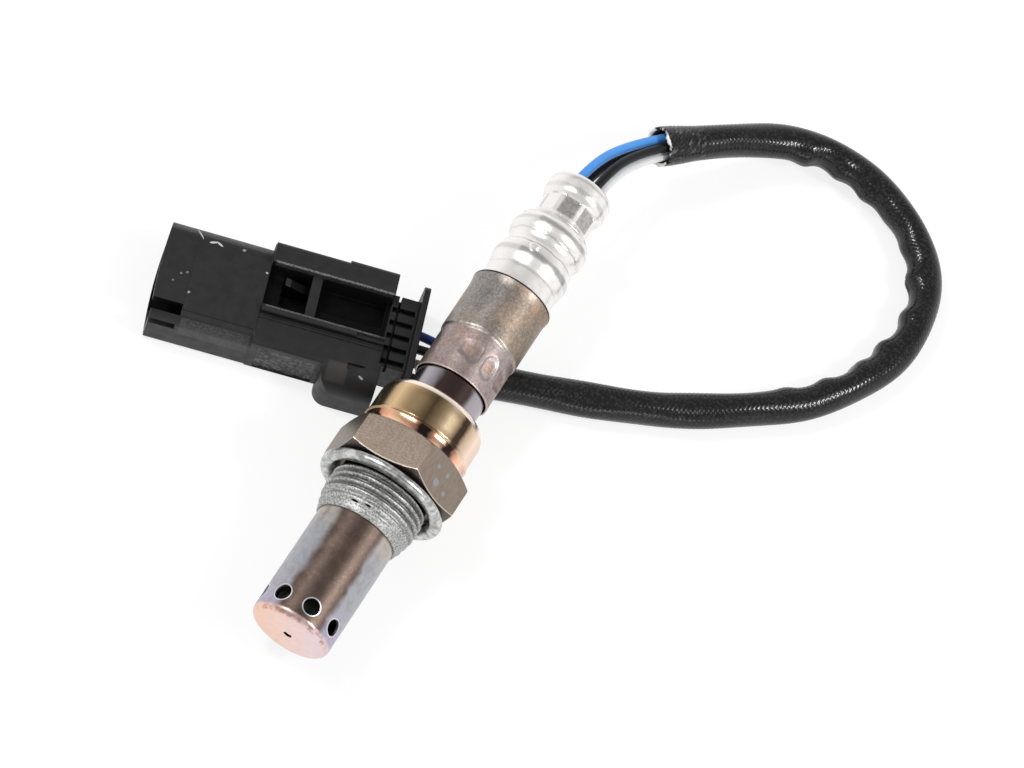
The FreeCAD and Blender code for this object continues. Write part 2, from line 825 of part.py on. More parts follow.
def make_upper_insulator():
    """Ceramic separator: seated on the casing's end, a hole for each contact."""
    body = new_body("upper_insulator")
    seat = CASING_TOP
    start = seat - d.insulator_flange_length * 4
    shank = CASING_NECK - d.casing_wall - d.fit_gap
    flange_top = seat + d.insulator_flange_length
    revolve(body, "block", [
        (0, start),
        (shank, start),
        (shank, seat),
        (d.insulator_flange_radius, seat),
        (d.insulator_flange_radius, flange_top),
        (d.insulator_radius, flange_top),
        (d.insulator_radius, SHOULDER_END),
        (0, SHOULDER_END),
    ])
    holes = new_sketch(body, "XY_Plane", "holes", start)
    for x, y in pattern_places():
        draw_circle(holes, x, y, d.insulator_hole_radius)
    pocket(body, "holes", holes, SHOULDER_END - start, flip=True)
    heater = new_sketch(body, "XY_Plane", "heater", start)
    draw_circle(heater, 0, 0, d.heater_radius + d.fit_gap)
    pocket(body, "heater", heater, seat - d.heater_top_depth - start, flip=True)
    lie_with_sensor(body)


def make_grommet():
    """Rubber plug, squeezed by the crimped neck, with a hole for each wire."""
    body = new_body("grommet")
    neck = NECK_BORE - d.fit_gap
    cap = CAP_BORE - d.fit_gap
    revolve(body, "plug", [
        (0, SHOULDER_END),
        (d.insulator_radius, SHOULDER_END),
        (neck, NECK),
        (neck, NECK_END),
        (cap, CAP + d.cover_wall),
        (cap, CAP_END - d.cover_wall),
        (cap - d.cover_wall, GROMMET_TOP),
        (0, GROMMET_TOP),
    ])
    holes = new_sketch(body, "XY_Plane", "holes", SHOULDER_END)
    for x, y in pattern_places():
        draw_circle(holes, x, y, d.grommet_hole_radius)
    pocket(body, "holes", holes, GROMMET_TOP - SHOULDER_END, flip=True)
    lie_with_sensor(body)


def make_terminal_contacts():
    """A flat strip with a crimp barrel, one for each wire."""
    for index, (x, y) in enumerate(pattern_places()):
        body = new_body("terminal_contact_" + str(index + 1))
        half_width = d.contact_strip_width / 2
        half_thickness = d.contact_strip_thickness / 2
        strip_start = CASING_TOP - d.contact_strip_depth
        strip = new_sketch(body, "XY_Plane", "strip", strip_start)
        draw_outline(strip, box_points(x - half_width, y - half_thickness,
                                       x + half_width, y + half_thickness))
        pad(body, "strip", strip, CONTACT_BARREL - strip_start)
        barrel = new_sketch(body, "XY_Plane", "barrel", CONTACT_BARREL)
        draw_circle(barrel, x, y, d.wire_radius)
        pad(body, "barrel", barrel, d.contact_barrel_length)
        lie_with_sensor(body)


# Plug pieces

def row_places():
    """The four wires' places across the plug."""
    return [d.row_shift + d.wire_pitch * place for place in (-1.5, -0.5, 0.5, 1.5)]


def cut_wire_holes(body, name, start, length, radius):
    sketch = new_sketch(body, "YZ_Plane", name, start)
    for across in row_places():
        draw_circle(sketch, across, d.row_height, radius)
    pocket(body, name, sketch, length, flip=True)


def pad_section(body, name, start, end, points):
    """Extrude a section of the plug from one station to another."""
    sketch = new_sketch(body, "YZ_Plane", name, start)
    draw_outline(sketch, points)
    return pad(body, name, sketch, end - start)


def cut_section(body, name, start, end, points):
    sketch = new_sketch(body, "YZ_Plane", name, start)
    draw_outline(sketch, points)
    return pocket(body, name, sketch, end - start, flip=True)


def rail_points(near, far, low, high, near_corner, far_corner):
    """A rail that stands on the housing, with its two upper edges rounded."""
    return [
        (near, low),
        (far, low),
        (far, high - far_corner, -far_corner),
        (far - far_corner, high),
        (near + near_corner, high, -near_corner),
        (near, high - near_corner),
    ]


def add_housing_shells(body):
    """The mouth's shroud with its raised panel, and the body behind it with a sunk side pad."""
    half = d.shroud_half_width
    high = d.shroud_height
    shroud = round_box_points(-half, 0, half, high, d.low_corner, d.shroud_far_corner,
                              d.shroud_near_corner)
    pad_section(body, "shroud", 0, d.shroud_length, shroud)
    pad_section(body, "panel", d.panel_start, d.shroud_length,
                box_points(-d.panel_near, high - d.panel_rise, d.panel_far, high + d.panel_rise))
    wide = d.housing_half_width
    pad_section(body, "body", d.shroud_length, d.housing_length,
                round_box_points(-wide, 0, wide, high, d.low_corner, d.housing_corner, d.housing_corner))
    side = new_sketch(body, "XZ_Plane", "side_pad", wide)
    draw_outline(side, box_points(d.pad_start, d.pad_low, d.pad_end, d.pad_high))
    pocket(body, "side_pad", side, d.pad_depth)


def add_block(body):
    """The rounded block on the near side, with the small notch in its top."""
    plan = new_sketch(body, "XY_Plane", "block")
    corner = d.block_plan_corner
    draw_outline(plan, [
        (d.block_start, -d.block_inner),
        (d.block_start, corner - d.block_reach, -corner),
        (d.block_start + corner, -d.block_reach),
        (d.block_end, -d.block_reach),
        (d.block_end, -d.block_inner),
    ])
    pad(body, "block", plan, d.shroud_height)
    curve = d.block_curve
    outside = d.block_reach + d.fit_gap
    above = d.shroud_height + d.fit_gap
    cut_section(body, "block_curve", d.block_start, d.block_end, [
        (-outside, above),
        (-outside, d.shroud_height - curve),
        (-d.block_reach, d.shroud_height - curve, curve),
        (curve - d.block_reach, d.shroud_height),
        (curve - d.block_reach, above),
    ])
    notch = new_sketch(body, "XY_Plane", "notch", d.shroud_height)
    draw_outline(notch, [
        (d.notch_start, -d.notch_far),
        (d.notch_start, -d.notch_near),
        (d.notch_end, -d.notch_far),
    ])
    pocket(body, "notch", notch, d.notch_depth)


def add_rails(body):
    """The far rail with its step, the near rail with its lower end, and the guide ridge."""
    root = d.shroud_height - d.housing_corner * 2
    wide = d.housing_half_width
    pad_section(body, "far_rail", d.rail_start, d.housing_length,
                rail_points(d.far_rail_inner, wide, root, d.rail_top, d.far_rail_edge, d.far_rail_corner))
    pad_section(body, "far_step", d.far_step_start, d.housing_length,
                rail_points(d.far_rail_inner, wide + d.far_step, d.channel_floor, d.rail_top,
                            d.far_rail_edge, d.far_rail_corner))
    near = -d.near_rail_inner - d.near_rail_width
    pad_section(body, "near_rail", d.rail_start, d.housing_length,
                rail_points(near, -d.near_rail_inner, root, d.rail_top, d.near_rail_edge, d.near_rail_edge))
    cut_section(body, "near_rail_step", d.near_rail_step_start, d.housing_length,
                box_points(near, d.rail_top - d.near_rail_step, near + d.near_rail_width / 2, d.rail_top))
    pad_section(body, "ridge", d.rail_start, d.housing_length,
                box_points(-d.ridge_distance - d.ridge_width, root, -d.ridge_distance,
                           d.shroud_height + d.ridge_height))


def cut_channel(body):
    """The latch channel: its floor, a divider bar, two windows and the wedge that locks."""
    near = -d.near_rail_inner
    far = d.far_rail_inner
    floor = d.channel_floor
    cut_section(body, "channel", d.rail_start, d.housing_length, box_points(near, floor, far, d.rail_top))
    divider_end = d.divider_start + d.divider_thickness
    pad_section(body, "divider", d.divider_start, divider_end,
                box_points(near, floor, far, d.shroud_height))
    windows = new_sketch(body, "XY_Plane", "windows", floor)
    draw_outline(windows, box_points(d.front_window_start, -d.front_window_near, d.divider_start, far))
    draw_outline(windows, box_points(divider_end, d.rear_window_near, d.rear_window_end, far))
    pocket(body, "windows", windows, d.window_depth)
    tooth = new_sketch(body, "XZ_Plane", "tooth", -d.tooth_near - d.tooth_width)
    tooth_foot = floor - d.window_depth
    draw_outline(tooth, [
        (d.tooth_start, tooth_foot),
        (d.divider_start, tooth_foot),
        (d.divider_start, d.tooth_back),
        (d.tooth_start, d.tooth_front),
    ])
    pad(body, "tooth", tooth, d.tooth_width)


def bow_mouth(body):
    """Cut the mouth's edge to its slight bow, seen from above."""
    wide = d.shroud_half_width
    bow = new_sketch(body, "XY_Plane", "mouth_bow")
    radius = (wide * wide + d.mouth_bow * d.mouth_bow) / (d.mouth_bow * 2)
    draw_outline(bow, [
        (d.mouth_bow, wide, -radius),
        (d.mouth_bow, -wide),
        (d.mouth_bow, -wide - d.mouth_wall),
        (-d.mouth_wall, -wide - d.mouth_wall),
        (-d.mouth_wall, wide + d.mouth_wall),
        (d.mouth_bow, wide + d.mouth_wall),
    ])
    pocket(body, "mouth_bow", bow, d.shroud_height + d.panel_rise, flip=True)


def open_mouth(body):
    """The mouth's cavity, the terminal bores, the seal's pocket and the two key slots."""
    half = d.shroud_half_width - d.mouth_wall
    high = d.shroud_height
    cut_section(body, "mouth", 0, d.mouth_depth,
                round_box_points(-half, d.mouth_wall, half, high - d.mouth_wall, d.mouth_low_corner,
                                 d.mouth_far_corner, d.mouth_near_corner))
    cut_wire_holes(body, "bores", d.mouth_depth, d.housing_length - d.mouth_depth, d.terminal_bore_radius)
    cut_section(body, "seal_pocket", d.seal_start, d.housing_length,
                box_points(d.row_shift - d.seal_half_width, d.seal_low,
                           d.row_shift + d.seal_half_width, d.seal_high))
    cut_section(body, "key_slot", 0, d.key_slot_length,
                box_points(-d.key_slot_start - d.key_slot_width, d.key_slot_floor, -d.key_slot_start, high))
    cut_section(body, "side_slot", 0, d.side_slot_length,
                box_points(-d.shroud_half_width, d.side_slot_low,
                           d.mouth_near_corner - half, d.side_slot_high))


def make_connector_housing():
    """The moulded shroud and body, with its latch rails and windows."""
    body = new_body("connector_housing")
    add_housing_shells(body)
    add_block(body)
    add_rails(body)
    cut_channel(body)
    bow_mouth(body)
    open_mouth(body)
    lie_with_plug(body)


def make_wire_seal():
    body = new_body("wire_seal")
    gap = d.fit_gap
    pad_section(body, "mat", d.seal_start, d.housing_length,
                box_points(d.row_shift - d.seal_half_width + gap, d.seal_low + gap,
                           d.row_shift + d.seal_half_width - gap, d.seal_high - gap))
    cut_wire_holes(body, "holes", d.seal_start, d.housing_length - d.seal_start, d.wire_radius + gap)
    lie_with_plug(body)


def make_terminal_lock():
    """The lock behind the housing, with comb slots and a cross groove on its top."""
    body = new_body("terminal_lock")
    pad_section(body, "block", d.housing_length, LOCK_END,
                box_points(-d.lock_near, d.lock_low, d.lock_far, d.lock_top))
    cut_wire_holes(body, "holes", d.housing_length, d.lock_length, d.lock_hole_radius)
    comb = new_sketch(body, "XY_Plane", "comb", d.lock_top)
    first = -d.lock_near + d.comb_margin
    draw_outline(comb, box_points(d.housing_length + d.comb_margin / 2, first,
                                  LOCK_END - d.comb_margin, first + d.comb_slot_width))
    cut = pocket(body, "comb", comb, d.comb_slot_depth)
    pattern = body.newObject("PartDesign::LinearPattern", "comb_slots")
    pattern.Originals = [cut]
    pattern.Direction = (comb, ["V_Axis"])
    pattern.setExpression("Length", formula(d.comb_pitch * (d.comb_count - 1)))
    pattern.setExpression("Occurrences", formula(d.comb_count))
    body.Tip = pattern
    groove = new_sketch(body, "XY_Plane", "groove", d.lock_top)
    groove_start = d.housing_length + d.comb_groove_start
    draw_outline(groove, box_points(groove_start, -d.lock_near,
                                    groove_start + d.comb_groove_width, d.lock_far))
    pocket(body, "groove", groove, d.comb_groove_depth)
    lie_with_plug(body)


def make_rear_cover():
    body = new_body("rear_cover")
    gap = d.fit_gap
    pad_section(body, "plate", LOCK_END, PLUG_END,
                round_box_points(-d.cover_plate_near, gap, d.cover_plate_far, d.cover_plate_top,
                                 d.housing_corner, d.cover_plate_corner, d.cover_plate_corner))
    cut_wire_holes(body, "holes", LOCK_END, d.cover_plate_thickness, d.lock_hole_radius)
    lie_with_plug(body)


def make_blade_terminals():
    """A pointed blade in the mouth, a box in the bore and a crimp barrel on the wire."""
    half = d.blade_thickness / 2
    low = d.row_height - half
    high = d.row_height + half
    point = d.blade_tip + d.blade_point
    for index, across in enumerate(row_places()):
        body = new_body("blade_terminal_" + str(index + 1))
        side = new_sketch(body, "XZ_Plane", "blade", -across - d.blade_width / 2)
        draw_outline(side, [
            (d.blade_tip, d.row_height - half / 3),
            (point, low),
            (d.blade_root, low),
            (d.blade_root, high),
            (point, high),
            (d.blade_tip, d.row_height + half / 3),
        ])
        pad(body, "blade", side, d.blade_width)
        pad_section(body, "box", d.blade_root, d.terminal_box_end,
                    box_points(across - d.blade_width / 2, d.row_height - d.terminal_box_height / 2,
                               across + d.blade_width / 2, d.row_height + d.terminal_box_height / 2))
        barrel = new_sketch(body, "YZ_Plane", "barrel", d.terminal_box_end)
        draw_circle(barrel, across, d.row_height, d.wire_radius)
        pad(body, "barrel", barrel, d.terminal_end - d.terminal_box_end)
        lie_with_plug(body)


# The lead

def sensor_point(x, y, height):
    """A point of the sensor's own frame, in the row frame."""
    return nodes["threaded_shell"].Placement.multVec(FreeCAD.Vector(x, y, height))


def plug_point(along, across, height):
    return nodes["rear_cover"].Placement.multVec(FreeCAD.Vector(along, across, height))


def cord_path(label, points):
    """Straight runs joined by tangent arcs, each as large as its two runs allow."""
    edges = []
    radii = []
    start = points[0]
    for before, corner, after in zip(points, points[1:], points[2:]):
        back = (before - corner).normalize()
        ahead = (after - corner).normalize()
        tangent = CORNER_SHARE * min((before - corner).Length, (after - corner).Length)
        half_turn = (math.pi - back.getAngle(ahead)) / 2
        radius = tangent / math.tan(half_turn)
        middle = corner + (back + ahead).normalize() * (radius / math.cos(half_turn) - radius)
        first = corner + back * tangent
        last = corner + ahead * tangent
        edges.append(Part.LineSegment(start, first).toShape())
        edges.append(Part.Arc(first, middle, last).toShape())
        radii.append(radius)
        start = last
    edges.append(Part.LineSegment(start, points[-1]).toShape())
    path = Part.Wire(edges)
    print(label, "length", round(path.Length, 1), "radii", [round(radius, 1) for radius in radii])
    return path


def sweep_tube(label, points, radius, bore=0.0):
    """A plain tube along a cord's path, checked against its section times its length."""
    path = cord_path(label, points)
    heading = points[1] - points[0]
    section = Part.Face(Part.Wire(Part.Circle(points[0], heading, radius).toShape()))
    if bore > 0.0:
        hole = Part.Face(Part.Wire(Part.Circle(points[0], heading, bore).toShape()))
        section = section.cut(hole).Faces[0]
    solid = path.makePipe(section)
    expected = section.Area * path.Length
    if abs(solid.Volume - expected) > 0.01 * expected:
        raise RuntimeError(label + " has the wrong volume")
    feature = doc.addObject("Part::Feature", label)
    feature.Label = label
    feature.Shape = solid
    nodes[label] = feature


def braid_centre():
    rest_height = d.braid_radius.value + d.braid_floor_gap.value
    return [FreeCAD.Vector(x, y, rest_height + lift) for x, y, lift in BRAID_ROUTE]


def to_the_right(before, after):
    heading = after - before
    return FreeCAD.Vector(heading.y, -heading.x, 0).normalize()


def wire_points(angle, place):
    """A wire's route: out of the grommet, round in the braid with a slow lay, into the plug."""
    offset = d.pattern_offset.value * math.sqrt(2)
    x = offset * math.cos(math.radians(angle))
    y = -offset * math.sin(math.radians(angle))
    centre = braid_centre()
    lead_in = (centre[1] - centre[0]).normalize() * d.lead_in.value
    lead_out = (centre[-1] - centre[-2]).normalize() * d.lead_out.value
    centre[0] = centre[0] - lead_in
    centre[-1] = centre[-1] + lead_out
    across = d.row_shift.value + d.wire_pitch.value * place
    bend_height = (OVERALL + d.wire_bend_rise).value
    points = [sensor_point(x, y, CONTACT_BARREL_END.value), sensor_point(x, y, bend_height)]
    last = len(centre) - 1
    for index, point in enumerate(centre):
        turn = math.radians(angle - d.lie_roll.value + d.lay_turn.value * index / last)
        side = to_the_right(centre[max(index - 1, 0)], centre[min(index + 1, last)])
        lift = FreeCAD.Vector(0, 0, d.lay_radius.value * math.sin(turn))
        points.append(point + side * (d.lay_radius.value * math.cos(turn)) + lift)
    points.append(plug_point((PLUG_END + d.plug_bend_length).value, across, d.row_height.value))
    points.append(plug_point(d.terminal_end.value, across, d.row_height.value))
    return points


def make_lead():
    sweep_tube("braided_sleeve", braid_centre(), d.braid_radius.value,
               d.braid_radius.value - d.braid_wall.value)
    for label, (angle, place) in WIRES.items():
        sweep_tube(label, wire_points(angle, place), d.wire_radius.value)


def check_document():
    """Stop if any feature failed or any piece is empty or unsound."""
    doc.recompute()
    for item in doc.Objects:
        if "Invalid" in item.State or "Error" in item.State:
            raise RuntimeError(item.Name + " failed: " + str(item.State))
    for label, item in nodes.items():
        shape = item.Shape
        if shape.isNull() or not shape.isValid() or not shape.Solids:
            raise RuntimeError(label + " has no sound solid")


def write_parts():
    os.makedirs("parts", exist_ok=True)
    for label, item in nodes.items():
        item.Shape.exportStep(os.path.join("parts", label + ".step"))


make_threaded_shell()
make_crush_gasket()
make_protection_tubes()
make_sensing_element()
make_packing()
make_heater_rod()
make_lower_casing()
make_outer_sleeve()
make_ring("vent_filter", d.cover_radius + d.fit_gap, d.sleeve_top_radius - d.sleeve_wall - d.fit_gap,
          SLEEVE_STEP + d.filter_above_step, SLEEVE_TOP - d.filter_below_rim)
make_upper_cover()
make_upper_insulator()
make_grommet()
make_terminal_contacts()
make_connector_housing()
make_wire_seal()
make_terminal_lock()
make_rear_cover()
make_blade_terminals()
make_lead()
check_document()
write_parts()
print("pieces", len(nodes))
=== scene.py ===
import json
import math

import bpy
import numpy as np
from mathutils import Matrix, Vector

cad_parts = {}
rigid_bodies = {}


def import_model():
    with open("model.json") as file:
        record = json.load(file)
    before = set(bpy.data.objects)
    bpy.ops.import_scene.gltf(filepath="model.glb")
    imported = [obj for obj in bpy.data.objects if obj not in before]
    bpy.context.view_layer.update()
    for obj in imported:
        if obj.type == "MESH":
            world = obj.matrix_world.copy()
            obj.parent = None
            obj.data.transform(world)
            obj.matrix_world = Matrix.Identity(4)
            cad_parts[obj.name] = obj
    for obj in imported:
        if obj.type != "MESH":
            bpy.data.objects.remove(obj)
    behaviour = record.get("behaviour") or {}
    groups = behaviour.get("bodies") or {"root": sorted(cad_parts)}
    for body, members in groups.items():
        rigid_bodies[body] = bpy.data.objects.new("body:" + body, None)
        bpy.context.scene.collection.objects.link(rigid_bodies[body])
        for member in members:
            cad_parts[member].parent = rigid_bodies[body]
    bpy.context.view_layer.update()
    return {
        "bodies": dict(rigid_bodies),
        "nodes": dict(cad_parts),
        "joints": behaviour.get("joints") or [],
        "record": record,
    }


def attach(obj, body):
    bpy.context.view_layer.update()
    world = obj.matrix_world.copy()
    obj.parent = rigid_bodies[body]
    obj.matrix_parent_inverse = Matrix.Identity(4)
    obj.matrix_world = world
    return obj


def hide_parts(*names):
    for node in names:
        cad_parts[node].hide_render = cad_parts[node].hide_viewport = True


# The looks of the oxygen sensor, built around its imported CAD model. Sizes here are in
# millimetres, apart from the lamps', and become metres when a mesh is made.

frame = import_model()
nodes = frame["nodes"]
MM = 0.001

# Where the sensor and the plug lie. In the sensor's frame +Z runs from its tip to its
# cable end and -Y is up. In the plug's frame +X runs from its mouth to its wires.
# The sensor rests on its hexagon's corner, which meets the floor at REST from the tip and
# CORNER below the axis. UPWARD is the degrees by which the sensor is rolled.
LENGTH = 100.8
FLATS = 11.0
REST = 33.05
CORNER = 12.191
UPWARD = 13.7
TILT = math.radians(4.0)
TIP = Vector((0.0, -LENGTH / 2 * math.cos(TILT), CORNER * math.cos(TILT) - REST * math.sin(TILT)))
LIE_DOWN = Matrix.Rotation(TILT - math.pi / 2, 4, "X")
ROLL = Matrix.Rotation(math.radians(-UPWARD), 4, "Z")
SENSOR = Matrix.Translation(TIP * MM) @ LIE_DOWN @ ROLL
MOUTH = Vector((-54.6, -3.1, 0.0))
PLUG = Matrix.Translation(MOUTH * MM) @ Matrix.Rotation(math.radians(18.7), 4, "Z")


# Camera and light

def add_camera():
    camera = bpy.data.objects.new("camera", bpy.data.cameras.new("camera"))
    camera.data.lens = 161.0
    camera.data.sensor_fit = "HORIZONTAL"
    camera.data.clip_start = 0.01
    camera.data.clip_end = 20.0
    camera.location = Vector((44.81, -372.24, 712.52)) * MM
    camera.rotation_euler = [math.radians(turn) for turn in (26.0846, -12.8467, 29.8565)]
    bpy.context.scene.collection.objects.link(camera)
    bpy.context.scene.camera = camera


def soft_lamp(name, place, width, height, watts):
    """A white lamp that faces the middle of the sensor. Its sizes are in metres."""
    lamp = bpy.data.objects.new(name, bpy.data.lights.new(name, "AREA"))
    lamp.data.shape = "RECTANGLE"
    lamp.data.size = width
    lamp.data.size_y = height
    lamp.data.energy = watts
    lamp.location = place
    lamp.rotation_euler = (-Vector(place)).to_track_quat("-Z", "Y").to_euler()
    bpy.context.scene.collection.objects.link(lamp)


add_camera()
soft_lamp("left_box", (-0.52, -0.08, 0.78), 0.42, 0.62, 1.6)
soft_lamp("left_glint", (-0.45, -0.02, 0.78), 0.11, 0.11, 2.1)
soft_lamp("right_box", (0.62, 0.06, 0.66), 0.36, 0.5, 1.5)
soft_lamp("right_glint", (0.60, 0.06, 0.65), 0.11, 0.11, 2.1)
soft_lamp("low_strip", (0.58, -0.66, 0.18), 0.26, 0.09, 0.35)
bpy.context.scene.view_settings.view_transform = "Standard"


# Procedural materials

class Paint:
    """One node material. Its patterns are in millimetres of the sensor's or the plug's frame.

    A mark is a value of 1 where something shows and 0 elsewhere.
    """

    def __init__(self, name, metallic=0.0, roughness=0.5, frame=None):
        self.material = bpy.data.materials.new(name)
        self.material.use_nodes = True
        self.tree = self.material.node_tree
        self.shader = self.tree.nodes["Principled BSDF"]
        self.set("Metallic", metallic)
        self.set("Roughness", roughness)
        place = self.value("ShaderNodeTexCoord", {}, "Object")
        self.place = self.vector("SCALE", place, 1.0 / MM)
        if frame is not None:
            self.place = self.in_frame(frame)

    def value(self, kind, inputs, output=0, **settings):
        """The output of a new node, whose inputs are given by name or number."""
        node = self.tree.nodes.new(kind)
        for key, item in settings.items():
            setattr(node, key, item)
        for key, item in inputs.items():
            self.feed(node.inputs[key], item)
        return node.outputs[output]

    def feed(self, socket, value):
        """Link an output to a socket, or set the socket where the value is plain."""
        if isinstance(value, bpy.types.NodeSocket):
            self.tree.links.new(value, socket)
        elif socket.type == "RGBA":
            socket.default_value = tuple(value) + (1.0,)
        else:
            socket.default_value = value

    def set(self, name, value):
        self.feed(self.shader.inputs[name], value)

    def source(self, name):
        """What is linked to the shader's socket so far."""
        return self.shader.inputs[name].links[0].from_socket

    def math(self, operation, *values):
        return self.value("ShaderNodeMath", dict(enumerate(values)), operation=operation)

    def times(self, first, *others):
        for other in others:
            first = self.math("MULTIPLY", first, other)
        return first

    def plus(self, first, second):
        return self.math("ADD", first, second)

    def minus(self, first, second):
        return self.math("SUBTRACT", first, second)

    def most(self, values):
        """The largest of the values."""
        largest = values[0]
        for value in values[1:]:
            largest = self.math("MAXIMUM", largest, value)
        return largest

    def squares(self, first, second):
        """The sum of two values' squares."""
        return self.plus(self.times(first, first), self.times(second, second))

    def vector(self, operation, value, other=None):
        inputs = {0: value}
        if other is not None:
            inputs["Scale" if operation == "SCALE" else 1] = other
        output = "Value" if operation in ("LENGTH", "DOT_PRODUCT") else 0
        return self.value("ShaderNodeVectorMath", inputs, output, operation=operation)

    def in_frame(self, frame):
        """The place as seen from the frame of a sensor or plug piece."""
        offset = self.vector("SUBTRACT", self.place, tuple(frame.translation / MM))
        axes = [tuple(frame.col[index][:3]) for index in range(3)]
        parts = [self.vector("DOT_PRODUCT", offset, axis) for axis in axes]
        return self.value("ShaderNodeCombineXYZ", dict(enumerate(parts)))

    def along(self, axis):
        return self.value("ShaderNodeSeparateXYZ", {0: self.place}, "XYZ".index(axis))

    def radius(self):
        return self.vector("LENGTH", self.vector("MULTIPLY", self.place, (1.0, 1.0, 0.0)))

    def angle(self, middle=0.0):
        """Degrees about the sensor's axis, from -180 to 180, away from a middle line."""
        up = self.times(self.along("Y"), -1.0)
        turn = self.times(self.math("ARCTAN2", self.along("X"), up), 180.0 / math.pi)
        return self.math("WRAP", self.minus(turn, middle), 180.0, -180.0)

    def away(self, middle):
        """Degrees from a line along the sensor, on either side of it."""
        return self.math("ABSOLUTE", self.angle(middle))

    def around(self, stops, wander):
        """A colour that goes through the stops round the sensor, each (degrees, colour)."""
        low = stops[0][0]
        high = stops[-1][0]
        turn = self.plus(self.angle(), self.times(self.noise(1.2, 3.0, shift=2.0), wander))
        share = self.math("DIVIDE", self.minus(turn, low + wander / 2), high - low)
        return self.ramp(share, [((place - low) / (high - low), colour) for place, colour in stops])

    def noise(self, size, detail=3.0, stretch=(1.0, 1.0, 1.0), distortion=0.0, shift=0.0):
        """Smooth noise from 0 to 1, whose blobs are about size wide."""
        spread = tuple(1.0 / (size * factor) for factor in stretch)
        place = self.vector("MULTIPLY", self.place, spread)
        if shift:
            place = self.vector("ADD", place, (shift, shift * 1.7, shift * 0.6))
        inputs = {"Vector": place, "Scale": 1.0, "Detail": detail, "Roughness": 0.55}
        return self.value("ShaderNodeTexNoise", {**inputs, "Distortion": distortion})

    def rise(self, value, low, high, to_low=0.0, to_high=1.0):
        """to_low below low, to_high above high and smooth between them."""
        inputs = dict(enumerate((value, low, high, to_low, to_high)))
        return self.value("ShaderNodeMapRange", inputs, interpolation_type="SMOOTHSTEP")

    def fall(self, value, low, high):
        """A mark that is 1 below low and 0 above high."""
        return self.rise(value, low, high, 1.0, 0.0)

    def above(self, low, high):
        """A mark above a height."""
        return self.rise(self.along("Z"), low, high)

    def below(self, low, high):
        return self.fall(self.along("Z"), low, high)

    def patches(self, low, high, *noise, **settings):
        """A mark on the patches where the noise is high."""
        return self.rise(self.noise(*noise, **settings), low, high)

    def ramp(self, value, stops):
        """A colour that goes through the stops, each (place from 0 to 1, colour)."""
        node = self.tree.nodes.new("ShaderNodeValToRGB")
        elements = node.color_ramp.elements
        while len(elements) < len(stops):
            elements.new(0.5)
        for element, (place, colour) in zip(elements, stops):
            element.position = place
            element.color = tuple(colour) + (1.0,)
        self.feed(node.inputs[0], value)
        return node.outputs[0]

    def mix(self, factor, first, second):
        return self.value("ShaderNodeMix", {0: factor, 6: first, 7: second}, 2, data_type="RGBA")

    def over(self, colour, mark, other, strength=1.0):
        """The colour with another one over it where the mark is 1."""
        if strength != 1.0:
            mark = self.times(mark, strength)
        return self.mix(mark, colour, other)

    def bump(self, height, depth, strength=1.0):
        """Raise the surface by height (0 to 1) times depth in millimetres, over earlier bumps."""
        inputs = {"Strength": strength, "Distance": depth * MM, "Height": height}
        if self.shader.inputs["Normal"].is_linked:
            inputs["Normal"] = self.source("Normal")
        self.set("Normal", self.value("ShaderNodeBump", inputs))


# Meshes

def new_piece(name, vertices, faces, paint, placed):
    """A piece from points in the sensor's or the plug's frame, put into the row frame."""
    turn = np.array(placed.to_3x3())
    points = np.asarray(vertices, float) * MM @ turn.T + np.array(placed.translation)
    mesh = bpy.data.meshes.new(name)
    mesh.from_pydata(points.tolist(), [], faces)
    mesh.update()
    mesh.shade_smooth()
    piece = bpy.data.objects.new(name, mesh)
    bpy.context.scene.collection.objects.link(piece)
    mesh.materials.append(paint.material)
    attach(piece, "root")
    return piece


def rounded(points, step):
    """A dense closed line through (x, y) points. A third number rounds that corner."""
    closed = [Vector(point[:2]) for point in points]
    line = []
    count = len(points)
    for index, point in enumerate(points):
        corner = closed[index]
        if len(point) == 2:
            line.append(corner)
            continue
        before = closed[index - 1] - corner
        after = closed[(index + 1) % count] - corner
        reach = min(point[2], before.length * 0.48, after.length * 0.48)
        first = corner + before.normalized() * reach
        last = corner + after.normalized() * reach
        for part in range(6):
            t = part / 5
            line.append(first * (1 - t) ** 2 + corner * (2 * t * (1 - t)) + last * t * t)
    return refined(line, step, lambda start, end: True)


def refined(line, step, chosen):
    """The closed line with its chosen stretches divided into steps."""
    dense = []
    for index, start in enumerate(line):
        end = line[(index + 1) % len(line)]
        parts = max(1, math.ceil((end - start).length / step)) if chosen(start, end) else 1
        dense += [start.lerp(end, part / parts) for part in range(parts)]
    return dense


def arc_rows(radius, low, high, curve, parts):
    """Rows of a bulge between two heights. A negative curve makes a hollow."""
    middle = (low + high) / 2
    half = (high - low) / 2
    size = abs(curve)
    centre = radius - math.copysign(math.sqrt(size * size - half * half), curve)
    rows = []
    for part in range(parts + 1):
        height = low + (high - low) * part / parts
        rise = math.sqrt(size * size - (height - middle) ** 2)
        rows.append((centre + math.copysign(rise, curve), height))
    return rows


def quads(count, turns, closed=True):
    """The faces between each ring of points and the next one."""
    faces = []
    for row in range(count if closed else count - 1):
        after = (row + 1) % count
        for turn in range(turns):
            right = (turn + 1) % turns
            faces.append((row * turns + turn, after * turns + turn,
                          after * turns + right, row * turns + right))
    return faces


